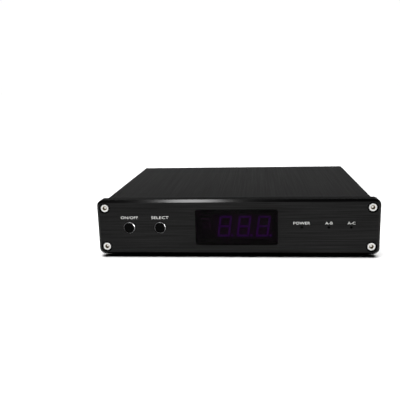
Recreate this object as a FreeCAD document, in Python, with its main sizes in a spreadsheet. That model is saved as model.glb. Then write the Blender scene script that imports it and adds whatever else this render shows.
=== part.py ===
import FreeCAD, Part
import math
import os
import Sketcher

# Speaker selector switch: a low aluminium case between a thick front panel and a rear panel of binding posts.
# Every piece is drawn with Y = 0 on the front panel's face, +Y to the rear, and Z = 0 on the table under the
# feet. Each piece's Placement then moves it so that the origin is the bottom centre of the whole object.

SIZES = {
    # front panel
    "panel_overhang_x": 3.2,
    "panel_overhang_z": 1.5,
    "panel_thickness": 8.0,
    "panel_corner_radius": 4.0,
    "panel_edge_chamfer": 1.6,
    "panel_lift": 2.3,
    # case of two extruded half shells
    "case_width": 178.6,
    "case_height": 34.0,
    "case_depth": 130.0,
    "case_wall": 1.8,
    "case_corner_radius": 1.6,
    "seam_lap": 1.5,
    "seam_gap": 0.1,
    "corner_rail_width": 6.1,
    "corner_rail_height": 5.1,
    "rear_panel_thickness": 2.5,
    "rear_panel_chamfer": 0.5,
    # screws
    "front_screw_inset_x": 2.2,
    "front_screw_inset_z": 3.9,
    "front_screw_head_radius": 2.75,
    "front_screw_head_height": 3.0,
    "front_screw_shank_radius": 1.5,
    "front_screw_shank_length": 16.0,
    "front_screw_drive": 2.5,
    "front_screw_drive_depth": 1.6,
    "front_screw_recess": 0.4,
    "counterbore_radius": 3.5,
    "rear_screw_inset_x": 5.1,
    "rear_screw_inset_z": 4.4,
    "rear_screw_head_radius": 2.75,
    "rear_screw_head_height": 1.9,
    "rear_screw_shank_radius": 1.5,
    "rear_screw_shank_length": 10.0,
    "rear_screw_drive": 2.0,
    "rear_screw_drive_depth": 1.1,
    "screw_clearance": 0.1,
    "tapped_clearance": 0.05,
    "tapped_run_out": 1.0,
    # feet
    "foot_radius": 6.0,
    "foot_taper": 0.6,
    "foot_hollow_radius": 2.6,
    "foot_hollow_depth": 0.8,
    "foot_inset_x": 14.0,
    "foot_inset_y": 10.0,
    # display window and what is behind it
    "window_width": 53.8,
    "window_height": 24.1,
    "window_thickness": 1.9,
    "window_corner_radius": 1.5,
    "window_sink": 0.1,
    "window_clearance": 0.1,
    "window_border_x": 3.6,
    "window_border_z": 3.4,
    "window_lip": 1.0,
    "module_width": 37.6,
    "module_height": 19.0,
    "module_depth": 8.0,
    "module_offset": 4.9,
    "module_clearance": 0.8,
    "module_gap": 0.3,
    "digit_pitch": 12.7,
    "digit_width": 8.0,
    "digit_height": 14.2,
    "digit_slant": 7.5,
    "digit_count": 3,
    "segment_width": 1.7,
    "segment_gap": 0.2,
    "segment_thickness": 0.2,
    "point_radius": 0.8,
    "point_offset": 5.6,
    "receiver_width": 5.6,
    "receiver_height": 7.0,
    "receiver_depth": 3.4,
    "receiver_dome_radius": 2.2,
    # push buttons
    "button_inset": 21.5,
    "button_pitch": 20.6,
    "button_radius": 3.65,
    "button_face_radius": 2.9,
    "button_clearance": 0.15,
    "button_proud": 1.2,
    "button_guide_length": 3.5,
    "button_flange_radius": 4.6,
    "button_flange_thickness": 1.2,
    "button_rest_gap": 0.1,
    "button_stem_radius": 1.75,
    "button_stem_entry": 1.4,
    "button_bay_clearance": 0.4,
    "switch_width": 6.0,
    "switch_depth": 3.5,
    "switch_bore_clearance": 0.05,
    "switch_bore_depth": 2.2,
    # indicators
    "light_inset": 18.6,
    "light_pitch": 14.3,
    "power_light_pitch": 17.2,
    "light_radius": 0.75,
    "light_clearance": 0.05,
    "light_sink": 0.1,
    "light_flange_radius": 1.6,
    "light_flange_thickness": 1.0,
    "led_width": 2.0,
    "led_height": 1.25,
    "led_depth": 1.0,
    # front board
    "board_thickness": 1.6,
    "board_edge_gap": 1.4,
    "front_board_height": 26.0,
    "front_board_screw_inset": 3.0,
    "front_board_screw_head_radius": 1.9,
    "front_board_screw_head_height": 1.3,
    "front_board_screw_shank_radius": 1.0,
    "front_board_screw_grip": 3.4,
    "front_board_screw_drive": 1.3,
    "front_board_screw_drive_depth": 0.8,
    "front_spacer_radius": 2.3,
    # main board and what stands on it
    "main_board_depth": 82.0,
    "main_board_rear_gap": 2.0,
    "jack_tab_side": 2.5,
    "standoff_height": 3.0,
    "standoff_across": 5.5,
    "standoff_inset_x": 6.0,
    "standoff_inset_y": 6.0,
    "board_screw_head_radius": 2.6,
    "board_screw_head_height": 1.7,
    "board_screw_shank_radius": 1.5,
    "board_screw_shank_length": 2.9,
    "board_screw_drive": 2.0,
    "board_screw_drive_depth": 0.9,
    "relay_width": 12.7,
    "relay_length": 29.0,
    "relay_height": 15.7,
    "relay_chamfer": 0.8,
    "relay_pitch": 32.0,
    "relay_offset_x": -8.0,
    "relay_offset_y": 22.0,
    "capacitor_radius": 5.0,
    "capacitor_height": 20.0,
    "capacitor_pitch": 16.0,
    "capacitor_offset_x": 13.0,
    "capacitor_offset_y": 24.0,
    "chip_width": 20.0,
    "chip_length": 7.6,
    "chip_height": 3.3,
    "chip_offset_x": 36.0,
    "chip_offset_y": 10.0,
    "regulator_width": 10.2,
    "regulator_depth": 4.5,
    "regulator_height": 9.0,
    "regulator_tab_height": 15.6,
    "regulator_tab_thickness": 1.3,
    "regulator_hole_radius": 1.8,
    "regulator_offset_x": 26.0,
    "regulator_header_gap": 2.2,
    "connector_width": 20.0,
    "connector_depth": 8.0,
    "connector_thickness": 6.0,
    "connector_rise": 4.0,
    "ribbon_width": 16.0,
    "ribbon_thickness": 1.0,
    "ribbon_bend_radius": 5.0,
    "ribbon_drop_inset": 6.0,
    # supply inlet, 5.5 mm barrel with a 2.1 mm pin
    "jack_width": 9.0,
    "jack_height": 11.0,
    "jack_depth": 14.3,
    "jack_axis_height": 6.5,
    "jack_nose_radius": 4.1,
    "jack_nose_clearance": 0.1,
    "jack_bore_radius": 3.0,
    "jack_bore_depth": 10.0,
    "jack_pin_radius": 1.0,
    "jack_pin_sink": 0.7,
    # binding posts
    "group_pitch": 46.0,
    "group_offset": -8.0,
    "post_pitch": 19.05,
    "row_pitch": 15.0,
    "stem_radius": 3.0,
    "stem_length": 18.0,
    "stem_tail_radius": 1.6,
    "stem_tail_length": 5.5,
    "stem_thread_inside": 8.5,
    "stem_end_chamfer": 0.4,
    "socket_radius": 2.05,
    "socket_depth": 11.0,
    "wire_hole_radius": 1.3,
    "wire_hole_place": 4.9,
    "thread_clearance": 0.05,
    "flange_radius": 5.9,
    "flange_thickness": 3.0,
    "flange_chamfer": 0.6,
    "sleeve_radius": 4.2,
    "sleeve_clearance": 0.1,
    "washer_radius": 5.5,
    "washer_thickness": 1.5,
    "nut_across": 9.0,
    "nut_thickness": 3.2,
    "cap_gap": 0.3,
    "cap_length": 17.0,
    "cap_radius": 5.5,
    "cap_end_wall": 2.0,
    "cap_end_hole_radius": 2.6,
    "cap_end_chamfer": 0.8,
    "cap_collar": 2.2,
    "flute_count": 12,
    "flute_radius": 1.1,
    "flute_depth": 0.5,
    "insert_radius": 4.0,
    "insert_length": 11.0,
    "insert_inset": 0.7,
    "insert_clearance": 0.05,
    # wires between the posts and the main board
    "header_width": 8.0,
    "header_depth": 12.0,
    "header_height": 9.8,
    "header_inset": 6.0,
    "header_screw_gap": 1.4,
    "wire_radius": 1.0,
    "wire_bend_radius": 5.0,
}

V = FreeCAD.Vector
UPRIGHT = FreeCAD.Rotation()
HALF_TURN_Z = FreeCAD.Rotation(V(0, 0, 1), 180)
QUARTER_BACK_X = FreeCAD.Rotation(V(1, 0, 0), -90)
QUARTER_ON_X = FreeCAD.Rotation(V(1, 0, 0), 90)

# Places worked out from the sizes. Y is measured from the front panel's face, Z from the table.
PANEL_HALF_X = "(Sizes.case_width / 2 + Sizes.panel_overhang_x)"
PANEL_HALF_Z = "(Sizes.case_height / 2 + Sizes.panel_overhang_z)"
AXIS_Z = f"(Sizes.panel_lift + {PANEL_HALF_Z})"
CASE_BOTTOM = f"({AXIS_Z} - Sizes.case_height / 2)"
FLOOR_TOP = f"({CASE_BOTTOM} + Sizes.case_wall)"
CASE_END = "(Sizes.panel_thickness + Sizes.case_depth)"
REAR_FACE = f"({CASE_END} + Sizes.rear_panel_thickness)"
CAP_END = "(Sizes.flange_thickness + Sizes.cap_gap + Sizes.cap_length)"
ORIGIN_Y = f"((Sizes.button_proud - {REAR_FACE} - {CAP_END}) / 2)"
INNER_HALF = "(Sizes.case_width / 2 - Sizes.case_wall)"
RAIL_INNER = f"({INNER_HALF} - Sizes.corner_rail_width)"
BOARD_HALF = f"({RAIL_INNER} - Sizes.board_edge_gap)"
WINDOW_BACK = "(Sizes.window_sink + Sizes.window_thickness)"
MODULE_FRONT = f"({WINDOW_BACK} + Sizes.window_lip + Sizes.module_gap)"
FRONT_BOARD = f"({MODULE_FRONT} + Sizes.module_depth)"
FRONT_BOARD_BACK = f"({FRONT_BOARD} + Sizes.board_thickness)"
SWITCH_FRONT = f"({FRONT_BOARD} - Sizes.switch_depth)"
HEAD_SEAT = "(Sizes.front_screw_recess + Sizes.front_screw_head_height)"
BOARD_BOTTOM = f"({FLOOR_TOP} + Sizes.standoff_height)"
BOARD_TOP = f"({BOARD_BOTTOM} + Sizes.board_thickness)"
TAIL_END = f"({CASE_END} - Sizes.stem_thread_inside - Sizes.stem_tail_length)"
MAIN_END = f"({TAIL_END} - Sizes.main_board_rear_gap)"
MAIN_START = f"({MAIN_END} - Sizes.main_board_depth)"
JACK_X = f"({BOARD_HALF} - Sizes.jack_tab_side - Sizes.jack_width / 2)"
JACK_Z = f"({BOARD_TOP} + Sizes.jack_axis_height)"
HEADER_BACK = f"({MAIN_END} - Sizes.header_inset)"
HEADER_FRONT = f"({HEADER_BACK} - Sizes.header_depth)"
HEADER_TOP = f"({BOARD_TOP} + Sizes.header_height)"
CONNECTOR_Z = f"({AXIS_Z} + Sizes.connector_rise)"
RIBBON_DROP = f"({MAIN_START} + Sizes.ribbon_drop_inset)"
LAST_LIGHT = f"({PANEL_HALF_X} - Sizes.light_inset)"
MIDDLE_LIGHT = f"({LAST_LIGHT} - Sizes.light_pitch)"
LIGHT_PLACES = (f"({MIDDLE_LIGHT} - Sizes.power_light_pitch)", MIDDLE_LIGHT, LAST_LIGHT)
FIRST_BUTTON = f"(Sizes.button_inset - {PANEL_HALF_X})"
BUTTON_PLACES = (FIRST_BUTTON, f"({FIRST_BUTTON} + Sizes.button_pitch)")

doc = FreeCAD.newDocument("SpeakerSelector")
sheet = doc.addObject("Spreadsheet::Sheet", "Sizes")
for row, (alias, value) in enumerate(SIZES.items(), 1):
    sheet.set(f"A{row}", alias)
    sheet.set(f"B{row}", str(value))
    sheet.setAlias(f"B{row}", alias)
doc.recompute()
nodes = []


def evaluate(expression):
    """The present value of an expression on the sheet, in millimetres."""
    result = sheet.evalExpression(expression)
    return float(getattr(result, "Value", result))


# ---------------------------------------------------------------- drawing helpers


def new_body(name):
    """A PartDesign body whose label is the piece's name."""
    body = doc.addObject("PartDesign::Body", name)
    body.Label = name
    return body


def new_sketch(body, name, plane, offset="0"):
    """A sketch on one of its own body's origin planes, moved along that plane's normal."""
    sketch = body.newObject("Sketcher::SketchObject", name)
    support = next(item for item in body.Origin.OriginFeatures if item.Role == plane)
    sketch.AttachmentSupport = [(support, "")]
    sketch.MapMode = "FlatFace"
    sketch.setExpression("AttachmentOffset.Base.z", offset)
    return sketch


def sketch_at_depth(body, name, depth):
    """A sketch in X and Z at a depth behind the front panel's face; that plane's normal points to the front."""
    return new_sketch(body, name, "XZ_Plane", f"-({depth})")


def pin_point(sketch, geometry, point, x, y):
    """Hold one sketch point at a pair of expressions measured from the sketch's origin."""
    for kind, expression in (("DistanceX", x), ("DistanceY", y)):
        distance = Sketcher.Constraint(kind, -1, 1, geometry, point, evaluate(expression))
        index = sketch.addConstraint(distance)
        sketch.setExpression(f"Constraints[{index}]", expression)


def pin_radius(sketch, geometry, radius):
    """Hold a circle's or an arc's radius at an expression."""
    index = sketch.addConstraint(Sketcher.Constraint("Radius", geometry, evaluate(radius)))
    sketch.setExpression(f"Constraints[{index}]", radius)


def draw_polygon(sketch, points):
    """A closed outline of straight lines through pairs of expressions."""
    first = sketch.GeometryCount
    count = len(points)
    places = [V(evaluate(x), evaluate(y), 0) for x, y in points]
    for index in range(count):
        sketch.addGeometry(Part.LineSegment(places[index], places[(index + 1) % count]), False)
    for index, (x, y) in enumerate(points):
        before = first + (index - 1) % count
        sketch.addConstraint(Sketcher.Constraint("Coincident", before, 2, first + index, 1))
        pin_point(sketch, first + index, 1, x, y)


def draw_circle(sketch, x, y, radius):
    """A circle with its centre and radius given as expressions."""
    centre = V(evaluate(x), evaluate(y), 0)
    index = sketch.addGeometry(Part.Circle(centre, V(0, 0, 1), evaluate(radius)), False)
    pin_point(sketch, index, 3, x, y)
    pin_radius(sketch, index, radius)


def draw_box(sketch, x0, x1, y0, y1):
    """A rectangle between two pairs of expressions."""
    draw_polygon(sketch, [(x0, y0), (x1, y0), (x1, y1), (x0, y1)])


def draw_round_box(sketch, half_x, half_y, radius, x="0", y="0"):
    """A rectangle with four tangent corner arcs about a centre."""
    first = sketch.GeometryCount
    corners = ((1, 1), (-1, 1), (-1, -1), (1, -1))
    centres = [
        (f"{x} + {sx} * ({half_x} - {radius})", f"{y} + {sy} * ({half_y} - {radius})") for sx, sy in corners
    ]
    for turn, (cx, cy) in enumerate(centres):
        ring = Part.Circle(V(evaluate(cx), evaluate(cy), 0), V(0, 0, 1), evaluate(radius))
        sketch.addGeometry(Part.ArcOfCircle(ring, turn * math.pi / 2, (turn + 1) * math.pi / 2), False)
    for turn in range(4):
        start = sketch.Geometry[first + turn].EndPoint
        end = sketch.Geometry[first + (turn + 1) % 4].StartPoint
        sketch.addGeometry(Part.LineSegment(start, end), False)
    for turn, (cx, cy) in enumerate(centres):
        side = first + 4 + turn
        pin_point(sketch, first + turn, 3, cx, cy)
        pin_radius(sketch, first + turn, radius)
        sketch.addConstraint(Sketcher.Constraint("Tangent", first + turn, 2, side, 1))
        sketch.addConstraint(Sketcher.Constraint("Tangent", side, 2, first + (turn + 1) % 4, 1))


def draw_hexagon(sketch, across):
    """A regular hexagon about the sketch's origin, by the distance across its flats."""
    angles = range(0, 360, 60)
    draw_polygon(sketch, [(f"{across} / sqrt(3) * cos({a} deg)", f"{across} / sqrt(3) * sin({a} deg)") for a in angles])


def pad(body, sketch, length, reverse=False):
    """Material from the sketch along its plane's normal, or against it."""
    feature = body.newObject("PartDesign::Pad", f"{sketch.Name}_pad")
    feature.Profile = sketch
    feature.setExpression("Length", length)
    feature.Reversed = reverse
    doc.recompute()
    return feature


def pocket(body, sketch, depth, reverse=False, both_ways=False):
    """A cut from the sketch against its plane's normal, or along it; it has to take material away."""
    before = body.Shape.Volume
    feature = body.newObject("PartDesign::Pocket", f"{sketch.Name}_cut")
    feature.Profile = sketch
    feature.setExpression("Length", depth)
    feature.Reversed = reverse
    feature.Midplane = both_ways
    doc.recompute()
    if not body.Shape.Volume < before - 0.01:
        raise RuntimeError(f"{feature.Name} cuts nothing")
    return feature


def turn(body, sketch):
    """A solid of revolution about the sketch's vertical axis."""
    feature = body.newObject("PartDesign::Revolution", f"{sketch.Name}_turned")
    feature.Profile = sketch
    feature.ReferenceAxis = (sketch, ["V_Axis"])
    feature.Angle = 360
    doc.recompute()
    return feature


def turned_piece(name, points, plane="XY_Plane"):
    """A turned body about Y, or about Z on the XZ plane, from its radius and height pairs."""
    body = new_body(name)
    sketch = new_sketch(body, f"{name}_profile", plane)
    draw_polygon(sketch, points)
    turn(body, sketch)
    return body


def edges_where(feature, test):
    """The names of a feature's edges that pass a test."""
    return [f"Edge{index}" for index, edge in enumerate(feature.Shape.Edges, 1) if test(edge)]


def at_coordinate(axis, place):
    """A test for edges that lie in the plane where one coordinate has a value."""
    value = evaluate(place)
    return lambda edge: all(abs(tuple(vertex.Point)[axis] - value) < 1e-4 for vertex in edge.Vertexes)


def dress(body, kind, base, test, size):
    """A chamfer or a fillet on the edges of a feature that pass a test."""
    feature = body.newObject(f"PartDesign::{kind}", f"{base.Name}_{kind.lower()}")
    feature.Base = (base, edges_where(base, test))
    feature.setExpression("Size" if kind == "Chamfer" else "Radius", size)
    doc.recompute()
    return feature


def set_place(piece, x, y, z):
    """Bind a piece's place to three expressions."""
    for axis, expression in zip("xyz", (x, y, z)):
        piece.setExpression(f"Placement.Base.{axis}", expression)


def keep(piece, x="0", y="0", z="0"):
    """Add a finished sub-part to the object, moved by the object's own origin."""
    set_place(piece, x, f"{y} + {ORIGIN_Y}", z)
    nodes.append(piece)


def copy_of(name, master, rotation=UPRIGHT):
    """A linked copy of a master piece."""
    link = doc.addObject("App::Link", name)
    link.Label = name
    link.LinkedObject = master
    link.Placement = FreeCAD.Placement(V(), rotation)
    return link


def keep_copies(name, items):
    """One sub-part of separate solids; an item is a master piece, its x, y and z, and its rotation."""
    compound = doc.addObject("Part::Compound", name)
    compound.Label = name
    links = []
    for index, (master, x, y, z, rotation) in enumerate(items, 1):
        link = copy_of(f"{name}_{index}", master, rotation)
        set_place(link, x, y, z)
        links.append(link)
    compound.Links = links
    keep(compound)


# ---------------------------------------------------------------- shared places


def both_signs():
    """The four quadrants, as pairs of signs."""
    return [(sx, sz) for sz in (1, -1) for sx in (1, -1)]


def front_screw_places():
    """Centres of the front panel's corner screws, from the case's centre: they enter the case's rails."""
    x = "(Sizes.case_width / 2 - Sizes.front_screw_inset_x)"
    z = "(Sizes.case_height / 2 - Sizes.front_screw_inset_z)"
    return [(f"{sx} * {x}", f"{sz} * {z}") for sx, sz in both_signs()]


def rear_screw_places():
    """Centres of the rear panel's corner screws, from the case's centre."""
    x = "(Sizes.case_width / 2 - Sizes.rear_screw_inset_x)"
    z = "(Sizes.case_height / 2 - Sizes.rear_screw_inset_z)"
    return [(f"{sx} * {x}", f"{sz} * {z}") for sx, sz in both_signs()]


def front_board_screw_places():
    """Centres of the screws that hold the front board to the front panel."""
    x = f"({BOARD_HALF} - Sizes.front_board_screw_inset)"
    z = "(Sizes.front_board_height / 2 - Sizes.front_board_screw_inset)"
    return [(f"{sx} * {x}", f"{sz} * {z}") for sx, sz in both_signs()]


def standoff_places():
    """Centres of the main board's standoffs in X and Y: near its front edge, and clear of the row of headers."""
    x = f"({BOARD_HALF} - Sizes.standoff_inset_x)"
    front = f"({MAIN_START} + Sizes.standoff_inset_y)"
    rear = f"({HEADER_FRONT} - Sizes.header_screw_gap - Sizes.board_screw_head_radius)"
    return [(f"{side} * {x}", y) for y in (front, rear) for side in (1, -1)]


def post_places():
    """Name and centre of each binding post: three lines, two poles side by side, left above right."""
    places = []
    for order, line in enumerate("abc"):
        for side, row in (("left", 1), ("right", -1)):
            for pole, step in (("plus", 1), ("minus", -1)):
                x = f"Sizes.group_offset + {1 - order} * Sizes.group_pitch + {step} * Sizes.post_pitch / 2"
                z = f"{AXIS_Z} + {row} * Sizes.row_pitch / 2"
                places.append((f"{line}_{side}_{pole}", x, z, row))
    return places


# ---------------------------------------------------------------- screws


def build_screw(kind):
    """A screw along Y: the head's seat at Y = 0, the head towards -Y, the shank towards +Y, a hexagon drive."""
    head = f"Sizes.{kind}_head_radius"
    height = f"Sizes.{kind}_head_height"
    shank = f"Sizes.{kind}_shank_radius"
    length = shank_length(kind)
    body = turned_piece(f"{kind}_master", [
        ("0", f"-{height}"),
        (f"{head} * 0.9", f"-{height}"),
        (head, f"-{height} * 0.86"),
        (head, "0"),
        (shank, "0"),
        (shank, f"{length} - {shank} * 0.4"),
        (f"{shank} * 0.6", length),
        ("0", length),
    ])
    drive = sketch_at_depth(body, f"{kind}_drive", f"-{height}")
    draw_hexagon(drive, f"Sizes.{kind}_drive")
    pocket(body, drive, f"Sizes.{kind}_drive_depth")
    return body


def shank_length(kind):
    """A screw's shank length; the front board's screw is as long as its board, spacer and grip."""
    if kind == "front_board_screw":
        return f"({FRONT_BOARD_BACK} - Sizes.panel_thickness + Sizes.front_board_screw_grip)"
    return f"Sizes.{kind}_shank_length"


def build_screws():
    """The four sets of screws, each set one sub-part of separate solids."""
    front = build_screw("front_screw")
    keep_copies("front_screws", [(front, x, HEAD_SEAT, f"{AXIS_Z} + {z}", UPRIGHT) for x, z in front_screw_places()])
    rear = build_screw("rear_screw")
    keep_copies("rear_screws", [(rear, x, REAR_FACE, f"{AXIS_Z} + {z}", HALF_TURN_Z) for x, z in rear_screw_places()])
    small = build_screw("front_board_screw")
    keep_copies("front_board_screws", [(small, x, FRONT_BOARD_BACK, f"{AXIS_Z} + {z}", HALF_TURN_Z)
                                       for x, z in front_board_screw_places()])
    board = build_screw("board_screw")
    above = [(board, x, y, BOARD_TOP, QUARTER_BACK_X) for x, y in standoff_places()]
    below = [(board, x, y, CASE_BOTTOM, QUARTER_ON_X) for x, y in standoff_places()]
    keep_copies("board_screws", above + below)


# ---------------------------------------------------------------- enclosure


def build_front_panel():
    """The thick front panel: bevelled face, counterbored corners, stepped window, button and light holes."""
    body = new_body("front_panel")
    outline = sketch_at_depth(body, "panel_outline", "0")
    draw_round_box(outline, PANEL_HALF_X, PANEL_HALF_Z, "Sizes.panel_corner_radius")
    block = pad(body, outline, "Sizes.panel_thickness", reverse=True)
    dress(body, "Chamfer", block, at_coordinate(1, "0"), "Sizes.panel_edge_chamfer")
    heads = sketch_at_depth(body, "panel_counterbores", "0")
    shanks = sketch_at_depth(body, "panel_screw_holes", "0")
    for x, z in front_screw_places():
        draw_circle(heads, x, z, "Sizes.counterbore_radius")
        draw_circle(shanks, x, z, "Sizes.front_screw_shank_radius + Sizes.screw_clearance")
    pocket(body, heads, HEAD_SEAT)
    pocket(body, shanks, "Sizes.panel_thickness")
    cut_window(body)
    cut_buttons_and_lights(body)
    tapped = sketch_at_depth(body, "panel_tapped_holes", "Sizes.panel_thickness")
    for x, z in front_board_screw_places():
        draw_circle(tapped, x, z, "Sizes.front_board_screw_shank_radius + Sizes.tapped_clearance")
    pocket(body, tapped, "Sizes.front_board_screw_grip + Sizes.tapped_clearance", reverse=True)
    keep(body, z=AXIS_Z)


def cut_window(body):
    """The window's flush seat, the aperture inside its border, and the bay for what is behind it."""
    seat = sketch_at_depth(body, "window_seat", "0")
    draw_round_box(seat, "(Sizes.window_width / 2 + Sizes.window_clearance)",
                   "(Sizes.window_height / 2 + Sizes.window_clearance)",
                   "(Sizes.window_corner_radius + Sizes.window_clearance)")
    pocket(body, seat, WINDOW_BACK)
    aperture = sketch_at_depth(body, "window_aperture", "0")
    half_x = "(Sizes.window_width / 2 - Sizes.window_border_x)"
    half_z = "(Sizes.window_height / 2 - Sizes.window_border_z)"
    draw_box(aperture, f"-{half_x}", half_x, f"-{half_z}", half_z)
    pocket(body, aperture, "Sizes.panel_thickness")
    bay = sketch_at_depth(body, "window_bay", "Sizes.panel_thickness")
    half_x = "(Sizes.module_offset + Sizes.module_width / 2 + Sizes.module_clearance)"
    half_z = "(Sizes.module_height / 2 + Sizes.module_clearance)"
    draw_box(bay, f"-{half_x}", half_x, f"-{half_z}", half_z)
    pocket(body, bay, f"Sizes.panel_thickness - {WINDOW_BACK} - Sizes.window_lip", reverse=True)


def cut_buttons_and_lights(body):
    """Button guides with a wider bay behind each, and the fine holes of the light guides."""
    guides = sketch_at_depth(body, "button_guides", "0")
    bays = sketch_at_depth(body, "button_bays", "Sizes.panel_thickness")
    bay_radius = "max(Sizes.button_flange_radius; Sizes.switch_width / sqrt(2)) + Sizes.button_bay_clearance"
    for x in BUTTON_PLACES:
        draw_circle(guides, x, "0", "Sizes.button_radius + Sizes.button_clearance")
        draw_circle(bays, x, "0", bay_radius)
    pocket(body, guides, "Sizes.panel_thickness")
    pocket(body, bays, "Sizes.panel_thickness - Sizes.button_guide_length", reverse=True)
    lights = sketch_at_depth(body, "light_holes", "0")
    for x in LIGHT_PLACES:
        draw_circle(lights, x, "0", "Sizes.light_radius + Sizes.light_clearance")
    pocket(body, lights, "Sizes.panel_thickness")


def shell_outline(up):
    """Outline of a half shell from the case's centre: wall, half of the lap at each side, two corner rails."""
    outer = "Sizes.case_width / 2"
    middle = "(Sizes.case_width / 2 - Sizes.case_wall / 2)"
    top = "Sizes.case_height / 2"
    ceiling = "(Sizes.case_height / 2 - Sizes.case_wall)"
    rail = f"({ceiling} - Sizes.corner_rail_height)"
    if up > 0:
        edge = "0"
        step = middle
        tongue = "-Sizes.seam_lap"
    else:
        edge = "-Sizes.seam_gap"
        step = f"({middle} + Sizes.seam_gap)"
        tongue = "-(Sizes.seam_lap + Sizes.seam_gap)"
    half = [
        (outer, edge), (step, edge), (step, tongue), (INNER_HALF, tongue),
        (INNER_HALF, f"{up} * {rail}"), (RAIL_INNER, f"{up} * {rail}"), (RAIL_INNER, f"{up} * {ceiling}"),
    ]
    corner = (outer, f"{up} * {top}")
    left = [(f"-{x}", z) for x, z in half]
    return [corner] + half + left[::-1] + [(f"-{corner[0]}", corner[1])]


def build_shell(name, up):
    """One half of the case, drawn about the case's centre."""
    body = new_body(name)
    outline = sketch_at_depth(body, f"{name}_outline", "Sizes.panel_thickness")
    draw_polygon(outline, shell_outline(up))
    shell = pad(body, outline, "Sizes.case_depth", reverse=True)
    half = evaluate("Sizes.case_width / 2")
    height = evaluate(f"{up} * Sizes.case_height / 2")

    def is_corner(edge):
        return all(abs(abs(v.X) - half) < 1e-4 and abs(v.Z - height) < 1e-4 for v in edge.Vertexes)

    dress(body, "Fillet", shell, is_corner, "Sizes.case_corner_radius")
    front = sketch_at_depth(body, f"{name}_front_holes", "Sizes.panel_thickness")
    for x, z in front_screw_places():
        if z.startswith(f"{up} "):
            draw_circle(front, x, z, "Sizes.front_screw_shank_radius + Sizes.tapped_clearance")
    depth = f"({HEAD_SEAT} + Sizes.front_screw_shank_length - Sizes.panel_thickness + Sizes.tapped_run_out)"
    pocket(body, front, depth)
    rear = sketch_at_depth(body, f"{name}_rear_holes", CASE_END)
    for x, z in rear_screw_places():
        if z.startswith(f"{up} "):
            draw_circle(rear, x, z, "Sizes.rear_screw_shank_radius + Sizes.tapped_clearance")
    depth = "(Sizes.rear_screw_shank_length - Sizes.rear_panel_thickness + Sizes.tapped_run_out)"
    pocket(body, rear, depth, reverse=True)
    return body


def build_case():
    """The two half shells; the lower one is drilled for the screws of the main board's standoffs."""
    keep(build_shell("upper_case", 1), z=AXIS_Z)
    lower = build_shell("lower_case", -1)
    holes = new_sketch(lower, "standoff_holes", "XY_Plane", "-Sizes.case_height / 2")
    for x, y in standoff_places():
        draw_circle(holes, x, y, "Sizes.board_screw_shank_radius + Sizes.screw_clearance")
    pocket(lower, holes, "Sizes.case_wall", reverse=True)
    keep(lower, z=AXIS_Z)


def build_rear_panel():
    """The rear panel, bored for the posts' sleeves, the supply inlet and four screws."""
    body = new_body("rear_panel")
    outline = sketch_at_depth(body, "rear_outline", CASE_END)
    draw_round_box(outline, "Sizes.case_width / 2", "Sizes.case_height / 2", "Sizes.case_corner_radius")
    plate = pad(body, outline, "Sizes.rear_panel_thickness", reverse=True)
    dress(body, "Chamfer", plate, at_coordinate(1, REAR_FACE), "Sizes.rear_panel_chamfer")
    holes = sketch_at_depth(body, "rear_holes", CASE_END)
    for _name, x, z, _row in post_places():
        draw_circle(holes, x, f"{z} - {AXIS_Z}", "Sizes.sleeve_radius + Sizes.sleeve_clearance")
    draw_circle(holes, JACK_X, f"{JACK_Z} - {AXIS_Z}", "Sizes.jack_nose_radius + Sizes.jack_nose_clearance")
    for x, z in rear_screw_places():
        draw_circle(holes, x, z, "Sizes.rear_screw_shank_radius + Sizes.screw_clearance")
    pocket(body, holes, "Sizes.rear_panel_thickness")
    keep(body, z=AXIS_Z)


def build_feet():
    """Four tapered rubber feet with a hollow underneath, between the table and the case."""
    foot = turned_piece("foot_master", [
        ("0", CASE_BOTTOM),
        ("Sizes.foot_radius", CASE_BOTTOM),
        ("Sizes.foot_radius - Sizes.foot_taper * 0.6", "Sizes.foot_taper"),
        ("Sizes.foot_radius - Sizes.foot_taper * 1.4", "0"),
        ("Sizes.foot_hollow_radius", "0"),
        ("Sizes.foot_hollow_radius", "Sizes.foot_hollow_depth"),
        ("0", "Sizes.foot_hollow_depth"),
    ], plane="XZ_Plane")
    x = "(Sizes.case_width / 2 - Sizes.foot_inset_x)"
    front = "(Sizes.panel_thickness + Sizes.foot_inset_y)"
    rear = f"({CASE_END} - Sizes.foot_inset_y)"
    keep_copies("rubber_feet", [(foot, f"{side} * {x}", y, "0", UPRIGHT) for y in (front, rear) for side in (1, -1)])


# ---------------------------------------------------------------- front controls and display


def build_buttons():
    """The push buttons: bevelled rim, a flange that stops on the panel, and a stem into the switch."""
    flange = "(Sizes.button_guide_length + Sizes.button_rest_gap)"
    back = f"({flange} + Sizes.button_flange_thickness)"
    tip = f"({SWITCH_FRONT} + Sizes.button_stem_entry)"
    bevel = "(Sizes.button_radius - Sizes.button_face_radius)"
    for name, x in zip(("power_button", "select_button"), BUTTON_PLACES):
        button = turned_piece(name, [
            ("0", "-Sizes.button_proud"),
            ("Sizes.button_face_radius", "-Sizes.button_proud"),
            ("Sizes.button_radius", f"{bevel} - Sizes.button_proud"),
            ("Sizes.button_radius", flange),
            ("Sizes.button_flange_radius", flange),
            ("Sizes.button_flange_radius", back),
            ("Sizes.button_stem_radius", back),
            ("Sizes.button_stem_radius", tip),
            ("0", tip),
        ])
        keep(button, x=x, z=AXIS_Z)


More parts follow.
